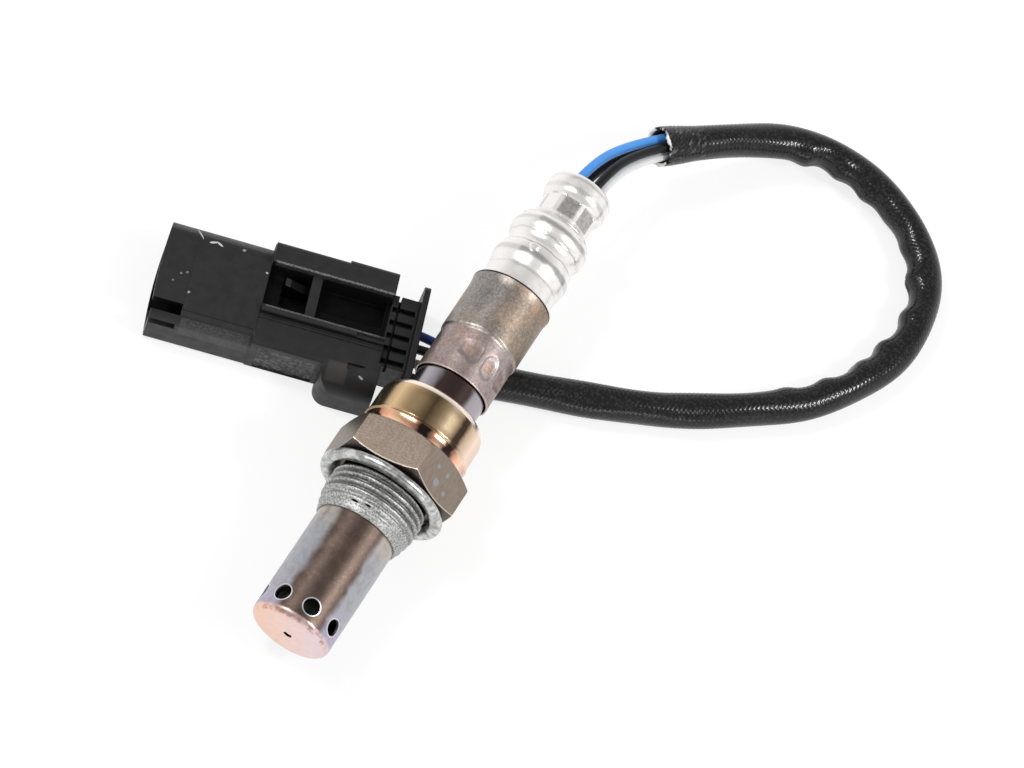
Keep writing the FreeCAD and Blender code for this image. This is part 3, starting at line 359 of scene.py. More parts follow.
def lathe(name, rows, paint, turns, shape=None):
    """A closed turned piece in the sensor's frame, from its (radius, height) outline.

    shape(angles, radius, height) may give each point its own radius and height. The
    angle is 0 at -Y and grows towards +X.
    """
    angles = np.arange(turns) * (2 * math.pi / turns)
    rings = []
    for radius, height in rows:
        radii = np.full(turns, float(radius))
        heights = np.full(turns, float(height))
        if shape is not None:
            radii, heights = shape(angles, radii, heights)
        rings.append(np.stack([radii * np.sin(angles), -radii * np.cos(angles), heights], 1))
    faces = quads(len(rows), turns)
    piece = new_piece(name, np.concatenate(rings), faces, paint, SENSOR)
    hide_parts(name.removeprefix("fine_"))
    return piece


def sharpen(piece, degrees):
    """Keep edges sharper than this crisp, and shade the rest smooth."""
    piece.data.set_sharp_from_angle(angle=math.radians(degrees))


def steps(value, low, high):
    """0 below low, 1 above high and smooth between them."""
    share = np.clip((value - low) / (high - low), 0.0, 1.0)
    return share * share * (3 - 2 * share)


# Sensor pieces

# Heights from the tip
HOLES = 3.8
NOSE = 22.3
THREAD_START = 24.9
GASKET = 29.9
THREAD_END = 30.6
HEX = 32.05
HEX_TOP = 39.6
RIM = 42.2
COLLAR = 42.55
COLLAR_TOP = 49.8
CASING = 46.0
SLEEVE = 54.5
COVER = 58.0
SLEEVE_STEP = 63.7
SLEEVE_TOP = 75.5
NECK = 92.4
NECK_END = 96.1
# Radii of the tube and the shell, the turn of one of the tube's holes, and the hexagon's
# chamfer, which rises by CHAMFER from FACE out to CORNERS
TUBE = 7.43
HOLE_TURN = 23.5
BORE = 7.0
OUTSIDE = 8.2
THREAD = 9.0
FACE = 10.85
CORNERS = 12.7
CHAMFER = 0.98
THREAD_PITCH = 1.4


def shell_shape(angles, radii, heights):
    """Turn the round outline into a hexagon along its flats, and cut the thread."""
    height = heights[0]
    if HEX - 0.01 < height < HEX_TOP + 0.01:
        flats = np.deg2rad(np.arange(6) * 60.0)
        across = np.cos(angles[:, None] - flats).max(1)
        radii = np.minimum(radii, FLATS / across)
    if NOSE + 0.3 < height < THREAD_END and radii[0] > 8.0:
        turn = height / THREAD_PITCH - angles / (2 * math.pi)
        share = np.abs(2 * (turn - np.floor(turn)) - 1)
        depth = 0.22 * steps(height, NOSE + 0.2, NOSE + 1.0)
        depth += 0.40 * steps(height, THREAD_START - 0.8, THREAD_START + 1.4)
        radii = radii - depth * steps(share, 0.15, 0.9)
    return radii, heights


def make_shell(paint):
    outside = [
        (7.48, NOSE), (7.8, NOSE, 0.12), (8.42, NOSE + 1.6, 0.8), (8.5, THREAD_START - 0.2, 0.2),
        (8.75, THREAD_START + 0.2, 0.2), (THREAD, THREAD_START + 1.4, 0.4),
        (THREAD, THREAD_END - 0.4), (8.3, THREAD_END), (8.3, HEX), (FACE, HEX),
        (CORNERS, HEX + CHAMFER, 0.3), (CORNERS, HEX_TOP - CHAMFER, 0.3), (FACE, HEX_TOP),
        (10.35, HEX_TOP, 0.2), (10.0, HEX_TOP + 0.35, 0.5), (9.75, HEX_TOP + 1.3, 0.7),
        (9.9, RIM - 0.25, 0.25), (10.2, RIM, 0.12), (10.2, COLLAR, 0.12),
        (9.97, COLLAR + 0.08, 0.1), (9.97, COLLAR_TOP - 2.3, 1.8), (9.3, COLLAR_TOP - 0.62, 0.8),
        (7.75, COLLAR_TOP, 0.9), (6.95, COLLAR_TOP, 0.25),
    ]
    inside = [
        (6.7, COLLAR_TOP - 0.3, 0.2), (6.7, CASING + 0.8), (8.25, CASING + 0.8), (8.25, CASING),
        (BORE, CASING), (BORE, 33.0), (4.2, 33.0), (4.2, 27.3),
        (5.05, 27.3), (5.05, 25.3), (7.48, 25.3),
    ]
    spans = [(NOSE + 0.3, THREAD_END), (HEX, HEX + 1.1), (HEX_TOP - 1.1, HEX_TOP)]

    def carved(start, end):
        middle = (start.y + end.y) / 2
        return min(start.x, end.x) > OUTSIDE and any(low < middle < high for low, high in spans)

    rows = refined(rounded(outside + inside, 0.8), 0.13, carved)
    sharpen(lathe("fine_threaded_shell", rows, paint, 300, shell_shape), 24)


def make_gasket(paint):
    """The rolled ring, with the end of its sheet tucked in at the bore."""
    rows = rounded([
        (9.12, 31.0, 0.3), (9.75, 30.35, 0.35), (10.1, 29.98, 0.5), (11.0, GASKET, 0.5),
        (11.85, 30.2, 0.5), (12.02, 30.9, 0.4), (11.8, 31.5, 0.4), (11.1, 31.68, 0.3),
        (10.5, 31.72), (10.4, HEX), (9.12, HEX),
    ], 0.15)

    def wobble(angles, radii, heights):
        ripple = 0.05 * np.sin(angles * 7 + 1.0) + 0.03 * np.sin(angles * 17)
        return np.where(radii < 10.5, radii + ripple, radii), heights

    lathe("fine_crush_gasket", rows, paint, 240, wobble)


def make_casing(paint):
    rows = rounded([
        (6.15, CASING), (8.2, CASING), (8.2, CASING + 0.8), (6.65, CASING + 0.8),
        (6.65, COVER - 0.4, 0.2), (6.45, COVER, 0.2), (6.45, 66.0), (5.95, 66.0),
        (5.95, COVER), (6.15, COVER - 0.4),
    ], 1.0)
    sharpen(lathe("fine_lower_casing", rows, paint, 160), 30)


# Each dent's turn and height, its half turn, half height and depth
DENTS = [
    (10.3, 59.7, 17.0, 1.9, 0.28),
    (46.2, 59.0, 13.0, 2.1, 0.34),
    (-27.0, 59.4, 15.0, 1.9, 0.24),
    (82.0, 59.3, 14.0, 1.9, 0.26),
    (118.0, 59.6, 15.0, 2.0, 0.28),
    (156.0, 59.2, 15.0, 1.9, 0.28),
    (-66.0, 59.5, 15.0, 2.0, 0.28),
    (-104.0, 59.2, 14.0, 1.9, 0.26),
    (-142.0, 59.6, 15.0, 1.9, 0.28),
]


def sleeve_shape(angles, radii, heights):
    """The crimp dents below the step, and a step that isn't quite straight."""
    outside = radii > 7.1
    for turn, middle, half_turn, half_height, depth in DENTS:
        away = (angles - math.radians(turn) + math.pi) % (2 * math.pi) - math.pi
        sideways = 1 + 0.18 * np.sin(away * 9 + middle * 7)
        reach = np.abs(away / math.radians(half_turn)) ** 4
        reach = reach + np.abs((heights - middle) / half_height * sideways) ** 4
        radii = radii - 0.75 * depth * (1 - steps(reach, 0.1, 1.0)) * outside
    lift = 0.22 * np.sin(angles * 2 + 0.6) + 0.1 * np.sin(angles * 5)
    near_step = np.exp(-((heights - SLEEVE_STEP) / 1.2) ** 2)
    return radii, heights + lift * near_step


def make_sleeve(paint):
    rows = rounded([
        (6.95, SLEEVE), (7.05, SLEEVE - 0.05, 0.05), (7.25, SLEEVE, 0.08), (7.2, SLEEVE + 1.7, 0.6),
        (7.2, SLEEVE_STEP - 0.1, 0.2), (7.5, SLEEVE_STEP + 0.35, 0.22),
        (7.5, SLEEVE_TOP - 1.6, 0.8), (7.76, SLEEVE_TOP, 0.06), (7.46, SLEEVE_TOP, 0.06),
        (7.2, SLEEVE_TOP - 1.6, 0.5), (7.2, SLEEVE_STEP + 0.5), (6.95, SLEEVE_STEP),
    ], 0.3)
    sharpen(lathe("fine_outer_sleeve", rows, paint, 300, sleeve_shape), 50)


COVER_RADIUS = 6.9
CRIMP_TURN = 12.0
CRIMP_RADIUS = 4.98
# The turn and height of the small dimple
DIMPLE = (4.3, 83.2)


def cover_shape(angles, radii, heights):
    """Eight crimp flats round the neck, and the small dimple in the lower bead."""
    outside = radii > 5.2
    across = (angles - math.radians(CRIMP_TURN) + math.pi / 8) % (math.pi / 4) - math.pi / 8
    window = 1 - steps(np.abs(across), math.radians(15.0), math.radians(18.0))
    window = window * steps(heights, NECK - 0.1, NECK + 0.25)
    window = window * (1 - steps(heights, NECK_END - 0.3, NECK_END + 0.1))
    flat = CRIMP_RADIUS / np.cos(across)
    radii = np.where(outside, radii + (flat - radii) * window, radii)
    away = (angles - math.radians(DIMPLE[0]) + math.pi) % (2 * math.pi) - math.pi
    reach = np.hypot(away * radii, heights - DIMPLE[1])
    radii = radii + 0.42 * (1 - steps(reach, 0.6, 1.05)) * (radii > 6.2)
    return radii, heights


def make_cover(paint):
    """A lower bead, a groove, an upper bead, a lip, the crimped neck and its end bead."""
    rows = [(6.5, COVER), (COVER_RADIUS, COVER), (COVER_RADIUS, 78.6), (6.86, 79.1)]
    rows += arc_rows(COVER_RADIUS, 79.6, 84.0, 5.642, 16)
    rows += arc_rows(COVER_RADIUS, 84.05, 86.55, -2.3, 12)
    rows += arc_rows(COVER_RADIUS, 86.6, 90.0, 3.224, 14)
    rows += [(6.82, 90.15), (6.86, 90.3), (6.82, 90.45), (6.6, 90.55), (6.62, 90.75), (6.3, 91.05)]
    rows += [(5.9, 91.55), (5.55, 92.05)]
    rows += [(5.37, NECK - 0.1 + 0.15 * part) for part in range(26)]
    rows += [(5.5, 96.25), (5.75, 96.65), (5.95, 97.1), (6.05, 97.6), (6.05, 98.3), (6.05, 99.2)]
    rows += [(6.04, 99.9), (5.95, 100.25), (5.78, 100.5), (5.6, 100.72), (5.35, LENGTH)]
    rows += [(5.2, 100.72), (5.62, 100.2), (5.62, 98.0), (4.72, NECK_END), (4.72, NECK)]
    rows += [(6.05, 90.3), (6.05, 84.0), (6.5, 83.6)]
    sharpen(lathe("fine_upper_cover", rows, paint, 320, cover_shape), 45)


# The lead. The points are those of the CAD model's routes, apart from the braid's last one,
# which lies further below the sleeve so that its end is hidden.

BRAID_ROUTE = [
    (6.8, 69.5, 12.8),
    (17.1, 81.9, 8.9),
    (28.9, 91.8, 5.8),
    (42.5, 93.3, 4.0),
    (55.6, 88.0, 3.2),
    (63.1, 77.3, 3.2),
    (63.4, 63.0, 3.2),
    (56.2, 47.9, 3.2),
    (42.4, 35.4, 3.2),
    (25.9, 24.5, 3.2),
    (2.4, 14.5, 3.2),
]
# Each wire's angle in the pattern, its place across the plug and its length in metres
WIRES = {
    "wire_blue": (135.0, 1.5, 0.2193),
    "wire_black_1": (45.0, -1.5, 0.2171),
    "wire_black_2": (225.0, 0.5, 0.2113),
    "wire_white": (-45.0, -0.5, 0.2093),
}
LAY_RADIUS = 1.55
LAY_TURN = 166.0
GROMMET_HOLE = 1.84
WIRE_RADIUS = 0.85
BRAID_RADIUS = 3.15


# Finishes of the sensor

def tint_and_reflection(paint, dark, side, middle, half_width):
    """Bare steel's heat tint with a painted reflection: darker along the top, and lilac grey down
    the sides.
    """
    patch = paint.noise(5.0, 3.0, shift=3.0)
    away = paint.plus(paint.away(middle), paint.times(paint.minus(patch, 0.5), 18.0))
    return paint.mix(paint.rise(away, half_width - 6.0, half_width + 6.0), dark, side)


def brushed(paint, depth, size=0.5):
    """Fine turning marks round the axis, and a light grain."""
    paint.bump(paint.noise(size, 4.0, stretch=(8.0, 8.0, 0.35)), depth, 0.5)
    paint.bump(paint.noise(0.5, 3.0, shift=9.0), depth, 0.3)


def tube_paint():
    """Dark brown along the top and blue grey down the sides, partly a painted reflection, coppery
    at the tip, and painted shade inside its bore.
    """
    paint = Paint("stained_tube", 1.0, frame=SENSOR)
    middle = paint.mix(paint.noise(3.0, 4.0), (0.145, 0.105, 0.085), (0.105, 0.076, 0.067))
    specks = paint.patches(0.5, 0.75, 0.5, 3.0, shift=5.0)
    middle = paint.over(middle, specks, (0.36, 0.22, 0.16), 0.22)
    side = paint.mix(paint.above(3.5, 9.0), (0.46, 0.43, 0.54), (0.41, 0.415, 0.45))
    side = paint.over(side, paint.above(16.0, 22.0), (0.50, 0.45, 0.40))
    side = paint.over(side, paint.patches(0.4, 0.65, 1.2, 4.0, shift=1.0), (0.30, 0.285, 0.30), 0.5)
    colour = tint_and_reflection(paint, middle, side, 18.0, 35.0)
    across = paint.rise(paint.along("X"), -6.0, 6.5)
    face = paint.mix(across, (0.88, 0.60, 0.47), (0.80, 0.63, 0.64))
    face = paint.over(face, paint.patches(0.45, 0.7, 1.2, 4.0, shift=3.0), (0.70, 0.56, 0.58), 0.5)
    edge = paint.plus(paint.along("Z"), paint.times(paint.noise(1.6, 3.0), 0.8))
    colour = paint.mix(paint.rise(edge, 1.2, 1.9), face, colour)
    band = paint.times(paint.rise(edge, 0.45, 0.8), paint.fall(edge, 1.1, 1.7),
                       paint.above(0.12, 0.3))
    broken = paint.times(band, paint.patches(0.42, 0.62, 1.3, 3.0, shift=8.0),
                         paint.rise(paint.away(18.0), 45.0, 75.0, 1.0, 0.2))
    colour = paint.over(colour, broken, (0.30, 0.11, 0.075), 0.6)
    colour = paint.over(colour, hole_rims(paint), (0.78, 0.78, 0.80))
    # Painted shade inside the tube's bore and its end hole
    hollow = paint.times(paint.fall(paint.radius(), 6.75, 7.2), paint.above(1.0, 1.2))
    end_hole = paint.times(paint.fall(paint.radius(), 1.2, 1.5), paint.above(0.08, 0.2))
    colour = paint.over(colour, paint.most([hollow, end_hole]), (0.012, 0.011, 0.010))
    paint.set("Base Color", colour)
    paint.set("Roughness", paint.rise(paint.noise(2.2, 4.0, shift=2.0), 0.3, 0.7, 0.28, 0.40))
    paint.bump(paint.noise(0.5, 4.0, stretch=(2.0, 2.0, 1.0)), 0.014, 0.5)
    return paint


def from_nearest(paint, middle):
    """Degrees from the nearest of eight lines round the sensor, one of them at middle."""
    return paint.math("PINGPONG", paint.angle(middle), 22.5)


def hole_rims(paint):
    """A mark on the bright burr round each of the outer tube's eight holes."""
    sideways = paint.times(from_nearest(paint, HOLE_TURN), TUBE * math.pi / 180.0)
    away = paint.math("SQRT", paint.squares(sideways, paint.minus(paint.along("Z"), HOLES)))
    return paint.times(paint.fall(away, 1.62, 1.78), 0.8)


def spot(paint, turn, height, half_turn, half_height):
    """A small mark on the sensor, at an angle and a height, with an uneven edge."""
    first = paint.math("DIVIDE", paint.angle(turn), half_turn)
    second = paint.math("DIVIDE", paint.minus(paint.along("Z"), height), half_height)
    away = paint.plus(paint.squares(first, second), paint.times(paint.noise(0.4, 3.0), 0.6))
    return paint.fall(away, 0.8, 1.5)


# Blue grey spots of the hexagon, each with its turn, height and half turn, and two dark
# marks on the nose, painted shade of the thread's run-out
HEXAGON_SPOTS = [(54.0, 34.6, 4.0), (62.0, 37.2, 2.6), (47.0, 36.9, 2.2), (69.0, 34.3, 2.6)]
RUNOUT_SHADES = [(-5.0, 24.0, 5.0), (12.0, 24.3, 4.0)]


def hexagon_brown(paint):
    """Streaked brown, with a bright line where the chamfer ends and painted shade below it, at the
    gap to the gasket.
    """
    brown = paint.mix(paint.noise(3.5, 4.0), (0.225, 0.175, 0.135), (0.285, 0.232, 0.19))
    streaks = paint.noise(0.6, 4.0, stretch=(1.0, 1.0, 3.0), shift=3.0)
    brown = paint.over(brown, paint.rise(streaks, 0.4, 0.65), (0.40, 0.34, 0.30), 0.2)
    for turn, height, size in HEXAGON_SPOTS:
        mark = spot(paint, turn, height, size, size * 0.19)
        brown = paint.over(brown, mark, (0.33, 0.36, 0.43), 0.6)
    chamfer = paint.times(paint.minus(paint.radius(), FACE), CHAMFER / (CORNERS - FACE))
    lift = paint.minus(paint.minus(paint.along("Z"), HEX), chamfer)
    brown = paint.over(brown, paint.rise(lift, 0.2, 0.34, 0.6, 0.0), (0.80, 0.70, 0.60))
    # Painted shade where the hexagon meets the gasket
    return paint.mix(paint.rise(lift, 0.05, 0.11, 0.85, 0.0), brown, (0.03, 0.025, 0.02))


# Colours round the shell, each at its turn in degrees: the groove's copper and the collar's gold
# tint, with painted reflections as their dark and bright bands
COPPER = (0.96, 0.50, 0.33)
GROOVE_DARK_REFLECTION = (0.035, 0.022, 0.02)
GROOVE_TINT_AND_REFLECTIONS = [
    (-60.0, (0.30, 0.12, 0.08)),
    (-34.0, (0.55, 0.26, 0.16)),
    (-24.0, COPPER),
    (-11.0, (0.99, 0.68, 0.42)),
    (2.0, COPPER),
    (13.0, GROOVE_DARK_REFLECTION),
    (22.0, GROOVE_DARK_REFLECTION),
    (30.0, COPPER),
    (37.0, (0.98, 0.62, 0.42)),
    (45.0, GROOVE_DARK_REFLECTION),
    (54.0, GROOVE_DARK_REFLECTION),
    (66.0, COPPER),
    (76.0, (0.97, 0.66, 0.50)),
    (92.0, (0.60, 0.34, 0.24)),
]
COLLAR_TINT_AND_REFLECTIONS = [
    (-60.0, (0.24, 0.175, 0.10)),
    (-38.0, (0.42, 0.30, 0.17)),
    (-26.0, (0.74, 0.52, 0.29)),
    (-4.0, (0.44, 0.305, 0.17)),
    (12.0, (0.13, 0.085, 0.045)),
    (22.0, (0.40, 0.28, 0.16)),
    (33.0, (0.88, 0.68, 0.44)),
    (43.0, (0.46, 0.34, 0.21)),
    (48.0, (0.07, 0.045, 0.03)),
    (54.0, (0.06, 0.04, 0.03)),
    (60.0, (0.58, 0.42, 0.29)),
    (76.0, (0.92, 0.72, 0.57)),
    (92.0, (0.80, 0.58, 0.46)),
]


def shell_paint():
    """Grey nose and thread, brown hexagon, copper groove, gold collar with a cream rim; painted
    reflections on groove and collar, painted shade in the thread and gaps.
    """
    paint = Paint("shell_steel", 1.0, frame=SENSOR)
    height = paint.along("Z")
    grit = paint.patches(0.36, 0.64, 0.32, 4.0)
    zinc = paint.mix(grit, (0.24, 0.24, 0.235), (0.58, 0.58, 0.56))
    crests = paint.mix(grit, (0.24, 0.24, 0.24), (0.60, 0.60, 0.59))
    zinc = paint.over(zinc, paint.above(THREAD_START + 0.1, THREAD_START + 1.6), crests)
    # Painted shade in the thread's valleys
    shaded_hollows = paint.fall(paint.radius(), THREAD - 0.55, THREAD - 0.05)
    shaded_hollows = paint.times(shaded_hollows, paint.above(THREAD_START + 0.3, THREAD_START + 1.5))
    zinc = paint.over(zinc, shaded_hollows, (0.05, 0.05, 0.05), 0.6)
    # Two dark marks on the nose: painted shade of the thread's run-out
    for turn, place, half_turn in RUNOUT_SHADES:
        zinc = paint.over(zinc, spot(paint, turn, place, half_turn, 0.2), (0.01, 0.01, 0.01))
    # Painted shade in the gap under the gasket, between the thread and the hexagon
    colour = paint.over(zinc, paint.above(THREAD_END - 0.5, THREAD_END - 0.2), (0.04, 0.035, 0.03))
    colour = paint.over(colour, paint.above(HEX - 0.15, HEX - 0.05), hexagon_brown(paint))
    # The groove's copper tint, with painted reflections: bright copper highlights and dark bands
    groove = paint.around(GROOVE_TINT_AND_REFLECTIONS, 9.0)
    colour = paint.over(colour, paint.above(HEX_TOP - 0.1, HEX_TOP + 0.15), groove)
    # The collar's gold tint, with painted reflections as its dark and bright bands
    colour = paint.over(colour, paint.above(RIM - 0.5, RIM - 0.1), paint.around(COLLAR_TINT_AND_REFLECTIONS, 4.0))
    colour = paint.over(colour, paint.above(COLLAR_TOP - 1.85, COLLAR_TOP - 1.7), (1.0, 0.86, 0.75))
    paint.set("Base Color", colour)
    rough = paint.rise(height, HEX - 0.25, HEX + 0.15, 0.48, 0.36)
    rough = paint.rise(height, HEX_TOP - 0.3, HEX_TOP + 0.2, rough, 0.14)
    rough = paint.rise(height, RIM - 0.3, RIM + 0.4, rough, 0.22)
    paint.set("Roughness", rough)
    grip = paint.rise(height, THREAD_START + 1.1, HEX - 0.15, 1.0, 0.35)
    grip = paint.times(grip, paint.rise(height, HEX_TOP - 0.6, HEX_TOP, 1.0, 0.3))
    paint.bump(paint.times(paint.noise(0.35, 4.0), grip), 0.12, 0.5)
    return paint


def gasket_paint():
    """Galvanised sheet, with painted shade in the fold at its bore and against the hexagon."""
    paint = Paint("gasket_steel", 1.0, 0.3, SENSOR)
    colour = paint.mix(paint.patches(0.35, 0.65, 1.1, 4.0), (0.34, 0.34, 0.33), (0.68, 0.68, 0.67))
    # Painted shade in the gap between the gasket's bore and the thread
    bore_shade = paint.fall(paint.plus(paint.radius(), paint.noise(1.0, 3.0)), 10.3, 11.1)
    colour = paint.over(colour, bore_shade, (0.07, 0.068, 0.065), 0.88)
    # Painted shade where the gasket meets the hexagon
    colour = paint.over(colour, paint.above(HEX - 0.6, HEX - 0.3), (0.02, 0.02, 0.02))
    paint.set("Base Color", colour)
    brushed(paint, 0.03)
    return paint


def casing_paint():
    """Dark blued steel with a painted reflection: darker along the top, paler down its sides."""
    paint = Paint("dark_casing", 1.0, 0.22, SENSOR)
    paint.set("Base Color", tint_and_reflection(paint, (0.075, 0.05, 0.045), (0.40, 0.37, 0.40), 19.0, 29.0))
    brushed(paint, 0.008)
    return paint


# The sleeve's blotches from dark to light: above its step on the cold and the hot side,
# and below it
COLD_STOPS = [(0.3, (0.22, 0.215, 0.215)), (0.5, (0.28, 0.25, 0.225)), (0.7, (0.33, 0.27, 0.225))]
HOT_STOPS = [(0.3, (0.25, 0.21, 0.18)), (0.5, (0.31, 0.235, 0.175)), (0.7, (0.38, 0.27, 0.19))]
LOWER_STOPS = [(0.3, (0.38, 0.32, 0.32)), (0.55, (0.33, 0.25, 0.235)), (0.7, (0.42, 0.29, 0.25))]


def sleeve_paint():
    """Mottled brown grey, pinker below the step, with rubbed bright lines at its edges and painted
    shade on its top rim's end face.
    """
    paint = Paint("stained_sleeve", 1.0, frame=SENSOR)
    blotch = paint.noise(6.0, 6.0, distortion=0.6)
    warm = paint.rise(paint.angle(), -30.0, 60.0)
    upper = paint.mix(warm, paint.ramp(blotch, COLD_STOPS), paint.ramp(blotch, HOT_STOPS))
    lower = paint.ramp(blotch, LOWER_STOPS)
    colour = paint.mix(paint.above(SLEEVE_STEP - 0.5, SLEEVE_STEP + 0.5), lower, upper)
    for turn, middle, half_turn, half_height, _ in DENTS:
        mark = spot(paint, turn, middle, half_turn * 0.7, half_height * 0.5)
        colour = paint.over(colour, mark, (0.42, 0.23, 0.14), 0.4)
    colour = paint.over(colour, spot(paint, 54.6, 73.3, 6.0, 0.8), (0.55, 0.30, 0.16), 0.6)
    rust = paint.patches(0.58, 0.72, 2.4, 5.0, shift=6.0)
    colour = paint.over(colour, rust, (0.42, 0.28, 0.17), 0.25)
    dark = paint.patches(0.5, 0.68, 0.9, 5.0, shift=4.0)
    colour = paint.over(colour, dark, (0.13, 0.11, 0.10), 0.4)
    grain = paint.patches(0.42, 0.66, 0.4, 4.0, shift=8.0)
    colour = paint.over(colour, grain, (0.62, 0.56, 0.51), 0.32)
    rubbed = paint.times(paint.above(SLEEVE_STEP - 0.15, SLEEVE_STEP + 0.2),
                         paint.below(SLEEVE_STEP + 0.3, SLEEVE_STEP + 0.65))
    side = paint.rise(paint.away(14.0), 34.0, 44.0, 1.0, 0.15)
    rubbed = paint.times(rubbed, side, paint.patches(0.38, 0.55, 1.2, 3.0, shift=3.0))
    colour = paint.over(colour, rubbed, (0.80, 0.73, 0.66), 0.75)
    lip = paint.below(SLEEVE + 0.12, SLEEVE + 0.3)
    colour = paint.over(colour, lip, (0.62, 0.52, 0.46), 0.7)
    # Painted shade on the end face of the top rim
    top = paint.above(SLEEVE_TOP - 0.4, SLEEVE_TOP - 0.2)
    colour = paint.over(colour, top, (0.02, 0.018, 0.016))
    paint.set("Base Color", colour)
    paint.set("Roughness", paint.rise(blotch, 0.35, 0.65, 0.38, 0.50))
    paint.bump(paint.noise(1.1, 4.0, shift=2.0), 0.06, 0.4)
    paint.bump(paint.noise(0.4, 3.0, shift=5.0), 0.03, 0.4)
    return paint


# The cover's painted grey reflections in soft arcs, each with its height, half height and strength
ARC_REFLECTIONS = [
    (78.8, 0.35, 0.3),
    (81.7, 0.9, 0.72),
    (84.0, 0.3, 0.45),
    (86.6, 0.25, 0.5),
    (88.7, 0.7, 0.62),
    (90.55, 0.2, 0.65),
    (91.1, 0.16, 0.5),
    (97.6, 0.7, 0.4),
    (99.7, 0.35, 0.3),
]


def cover_paint():
    """Near-white satin steel, with painted grey reflections in soft arcs and on its crimp flats."""
    paint = Paint("bright_cover", 0.75, frame=SENSOR)
    colour = paint.mix(paint.noise(4.0, 3.0), (0.93, 0.895, 0.86), (0.86, 0.84, 0.82))
    # Painted grey reflection on the crimp flats, on the top side only
    top = paint.fall(paint.away(32.0), 40.0, 50.0)
    neck = paint.times(paint.above(NECK - 0.2, NECK + 0.2),
                       paint.below(NECK_END - 0.3, NECK_END + 0.1))
    flats = paint.rise(from_nearest(paint, CRIMP_TURN + 22.5), 3.0, 7.0)
    mottle = paint.rise(paint.noise(0.6, 4.0), 0.35, 0.65, 0.65, 0.9)
    colour = paint.over(colour, paint.times(neck, flats, mottle, top), (0.31, 0.29, 0.28))
    wander = paint.plus(paint.along("Z"), paint.minus(paint.noise(3.0, 3.0), 0.5))
    side = paint.rise(top, 0.0, 1.0, 0.45, 1.0)
    # Painted grey reflections in soft arcs round the beads, weaker down the sides
    for place, half, strength in ARC_REFLECTIONS:
        line = paint.math("ABSOLUTE", paint.minus(wander, place))
        arc = paint.times(paint.rise(line, half * 0.3, half, strength, 0.0), side)
        colour = paint.over(colour, arc, (0.25, 0.245, 0.25))
    paint.set("Base Color", colour)
    paint.set("Roughness", paint.rise(paint.noise(2.0, 4.0), 0.3, 0.7, 0.24, 0.34))
    brushed(paint, 0.008, 0.7)
    return paint


def plain(name, colour, metallic, roughness):
    """A quiet finish for pieces that can hardly be seen, with a light grain."""
    paint = Paint(name, metallic, roughness)
    paler = tuple(min(1.0, part * 1.15 + 0.01) for part in colour)
    paint.set("Base Color", paint.mix(paint.noise(1.2, 3.0), colour, paler))
    paint.bump(paint.noise(0.5, 3.0), 0.02, 0.3)
    return paint


# Finishes of the plug and the lead

# The plug's scuffs: place along and across it, half length, half width, turn, strength
SCUFFS = [
    (5.6, 7.9, 1.15, 0.16, -56.0, 0.55),
    (8.1, 6.85, 0.75, 0.22, 18.0, 0.7),
    (9.2, 6.85, 0.75, 0.2, -28.0, 0.7),
    (13.6, 7.0, 0.35, 0.25, 30.0, 0.35),
    (6.0, -4.1, 0.26, 0.24, 0.0, 0.4),
    (3.9, -0.8, 0.25, 0.2, 0.0, 0.22),
    (2.8, -2.5, 0.2, 0.2, 0.0, 0.22),
    (4.9, -0.3, 0.3, 0.2, 40.0, 0.2),
    (18.4, 3.8, 0.25, 0.25, 0.0, 0.6),
    (38.7, -10.9, 0.5, 0.2, -25.0, 0.4),
]


def scuffs(paint):
    """A mark on the plug's scuffs, each as strong as its row says."""
    marks = []
    rough = paint.times(paint.minus(paint.noise(0.5, 3.0), 0.5), 0.9)
    for along, across, half_length, half_width, turn, strength in SCUFFS:
        cosine = math.cos(math.radians(turn))
        sine = math.sin(math.radians(turn))
        offset = paint.vector("SUBTRACT", paint.place, (along, across, 0.0))
        first = paint.vector("DOT_PRODUCT", offset, (cosine / half_length, sine / half_length, 0.0))
        second = paint.vector("DOT_PRODUCT", offset, (-sine / half_width, cosine / half_width, 0.0))
        away = paint.plus(paint.squares(first, second), rough)
        marks.append(paint.rise(away, 0.5, 1.3, strength, 0.0))
    above = paint.above(4.0, 5.0)
    return paint.times(paint.most(marks), above)


def inside(paint, axis, low, high, edge=0.06):
    """A mark between two places along an axis of the piece's frame."""
    place = paint.along(axis)
    return paint.times(paint.rise(place, low - edge, low), paint.fall(place, high, high + edge))


# Recesses of the plug, which get painted shade, each from low to high along its three axes
RECESSES = [
    ((19.0, 41.0), (-2.6, 5.8), (2.0, 9.3)),
    ((-1.0, 5.6), (-8.8, -6.6), (7.0, 11.0)),
    ((-2.0, 19.0), (-5.4, 6.2), (1.0, 8.5)),
]
# The plug's painted highlights along its rounded edges and rails, likewise, each with its
# brightness
EDGE_HIGHLIGHTS = [
    ((19.5, 41.0), (5.9, 6.15), (9.5, 14.0), 0.17),
    ((19.5, 40.0), (-3.1, -2.75), (9.5, 14.0), 0.09),
    ((0.0, 18.6), (7.8, 9.8), (5.0, 14.0), 0.045),
    ((6.0, 18.4), (-11.2, -9.0), (5.0, 14.0), 0.045),
]


def block(paint, spans):
    """A mark within a box of the plug's frame."""
    return paint.times(*(inside(paint, axis, low, high, 0.08)
                         for axis, (low, high) in zip("XYZ", spans)))


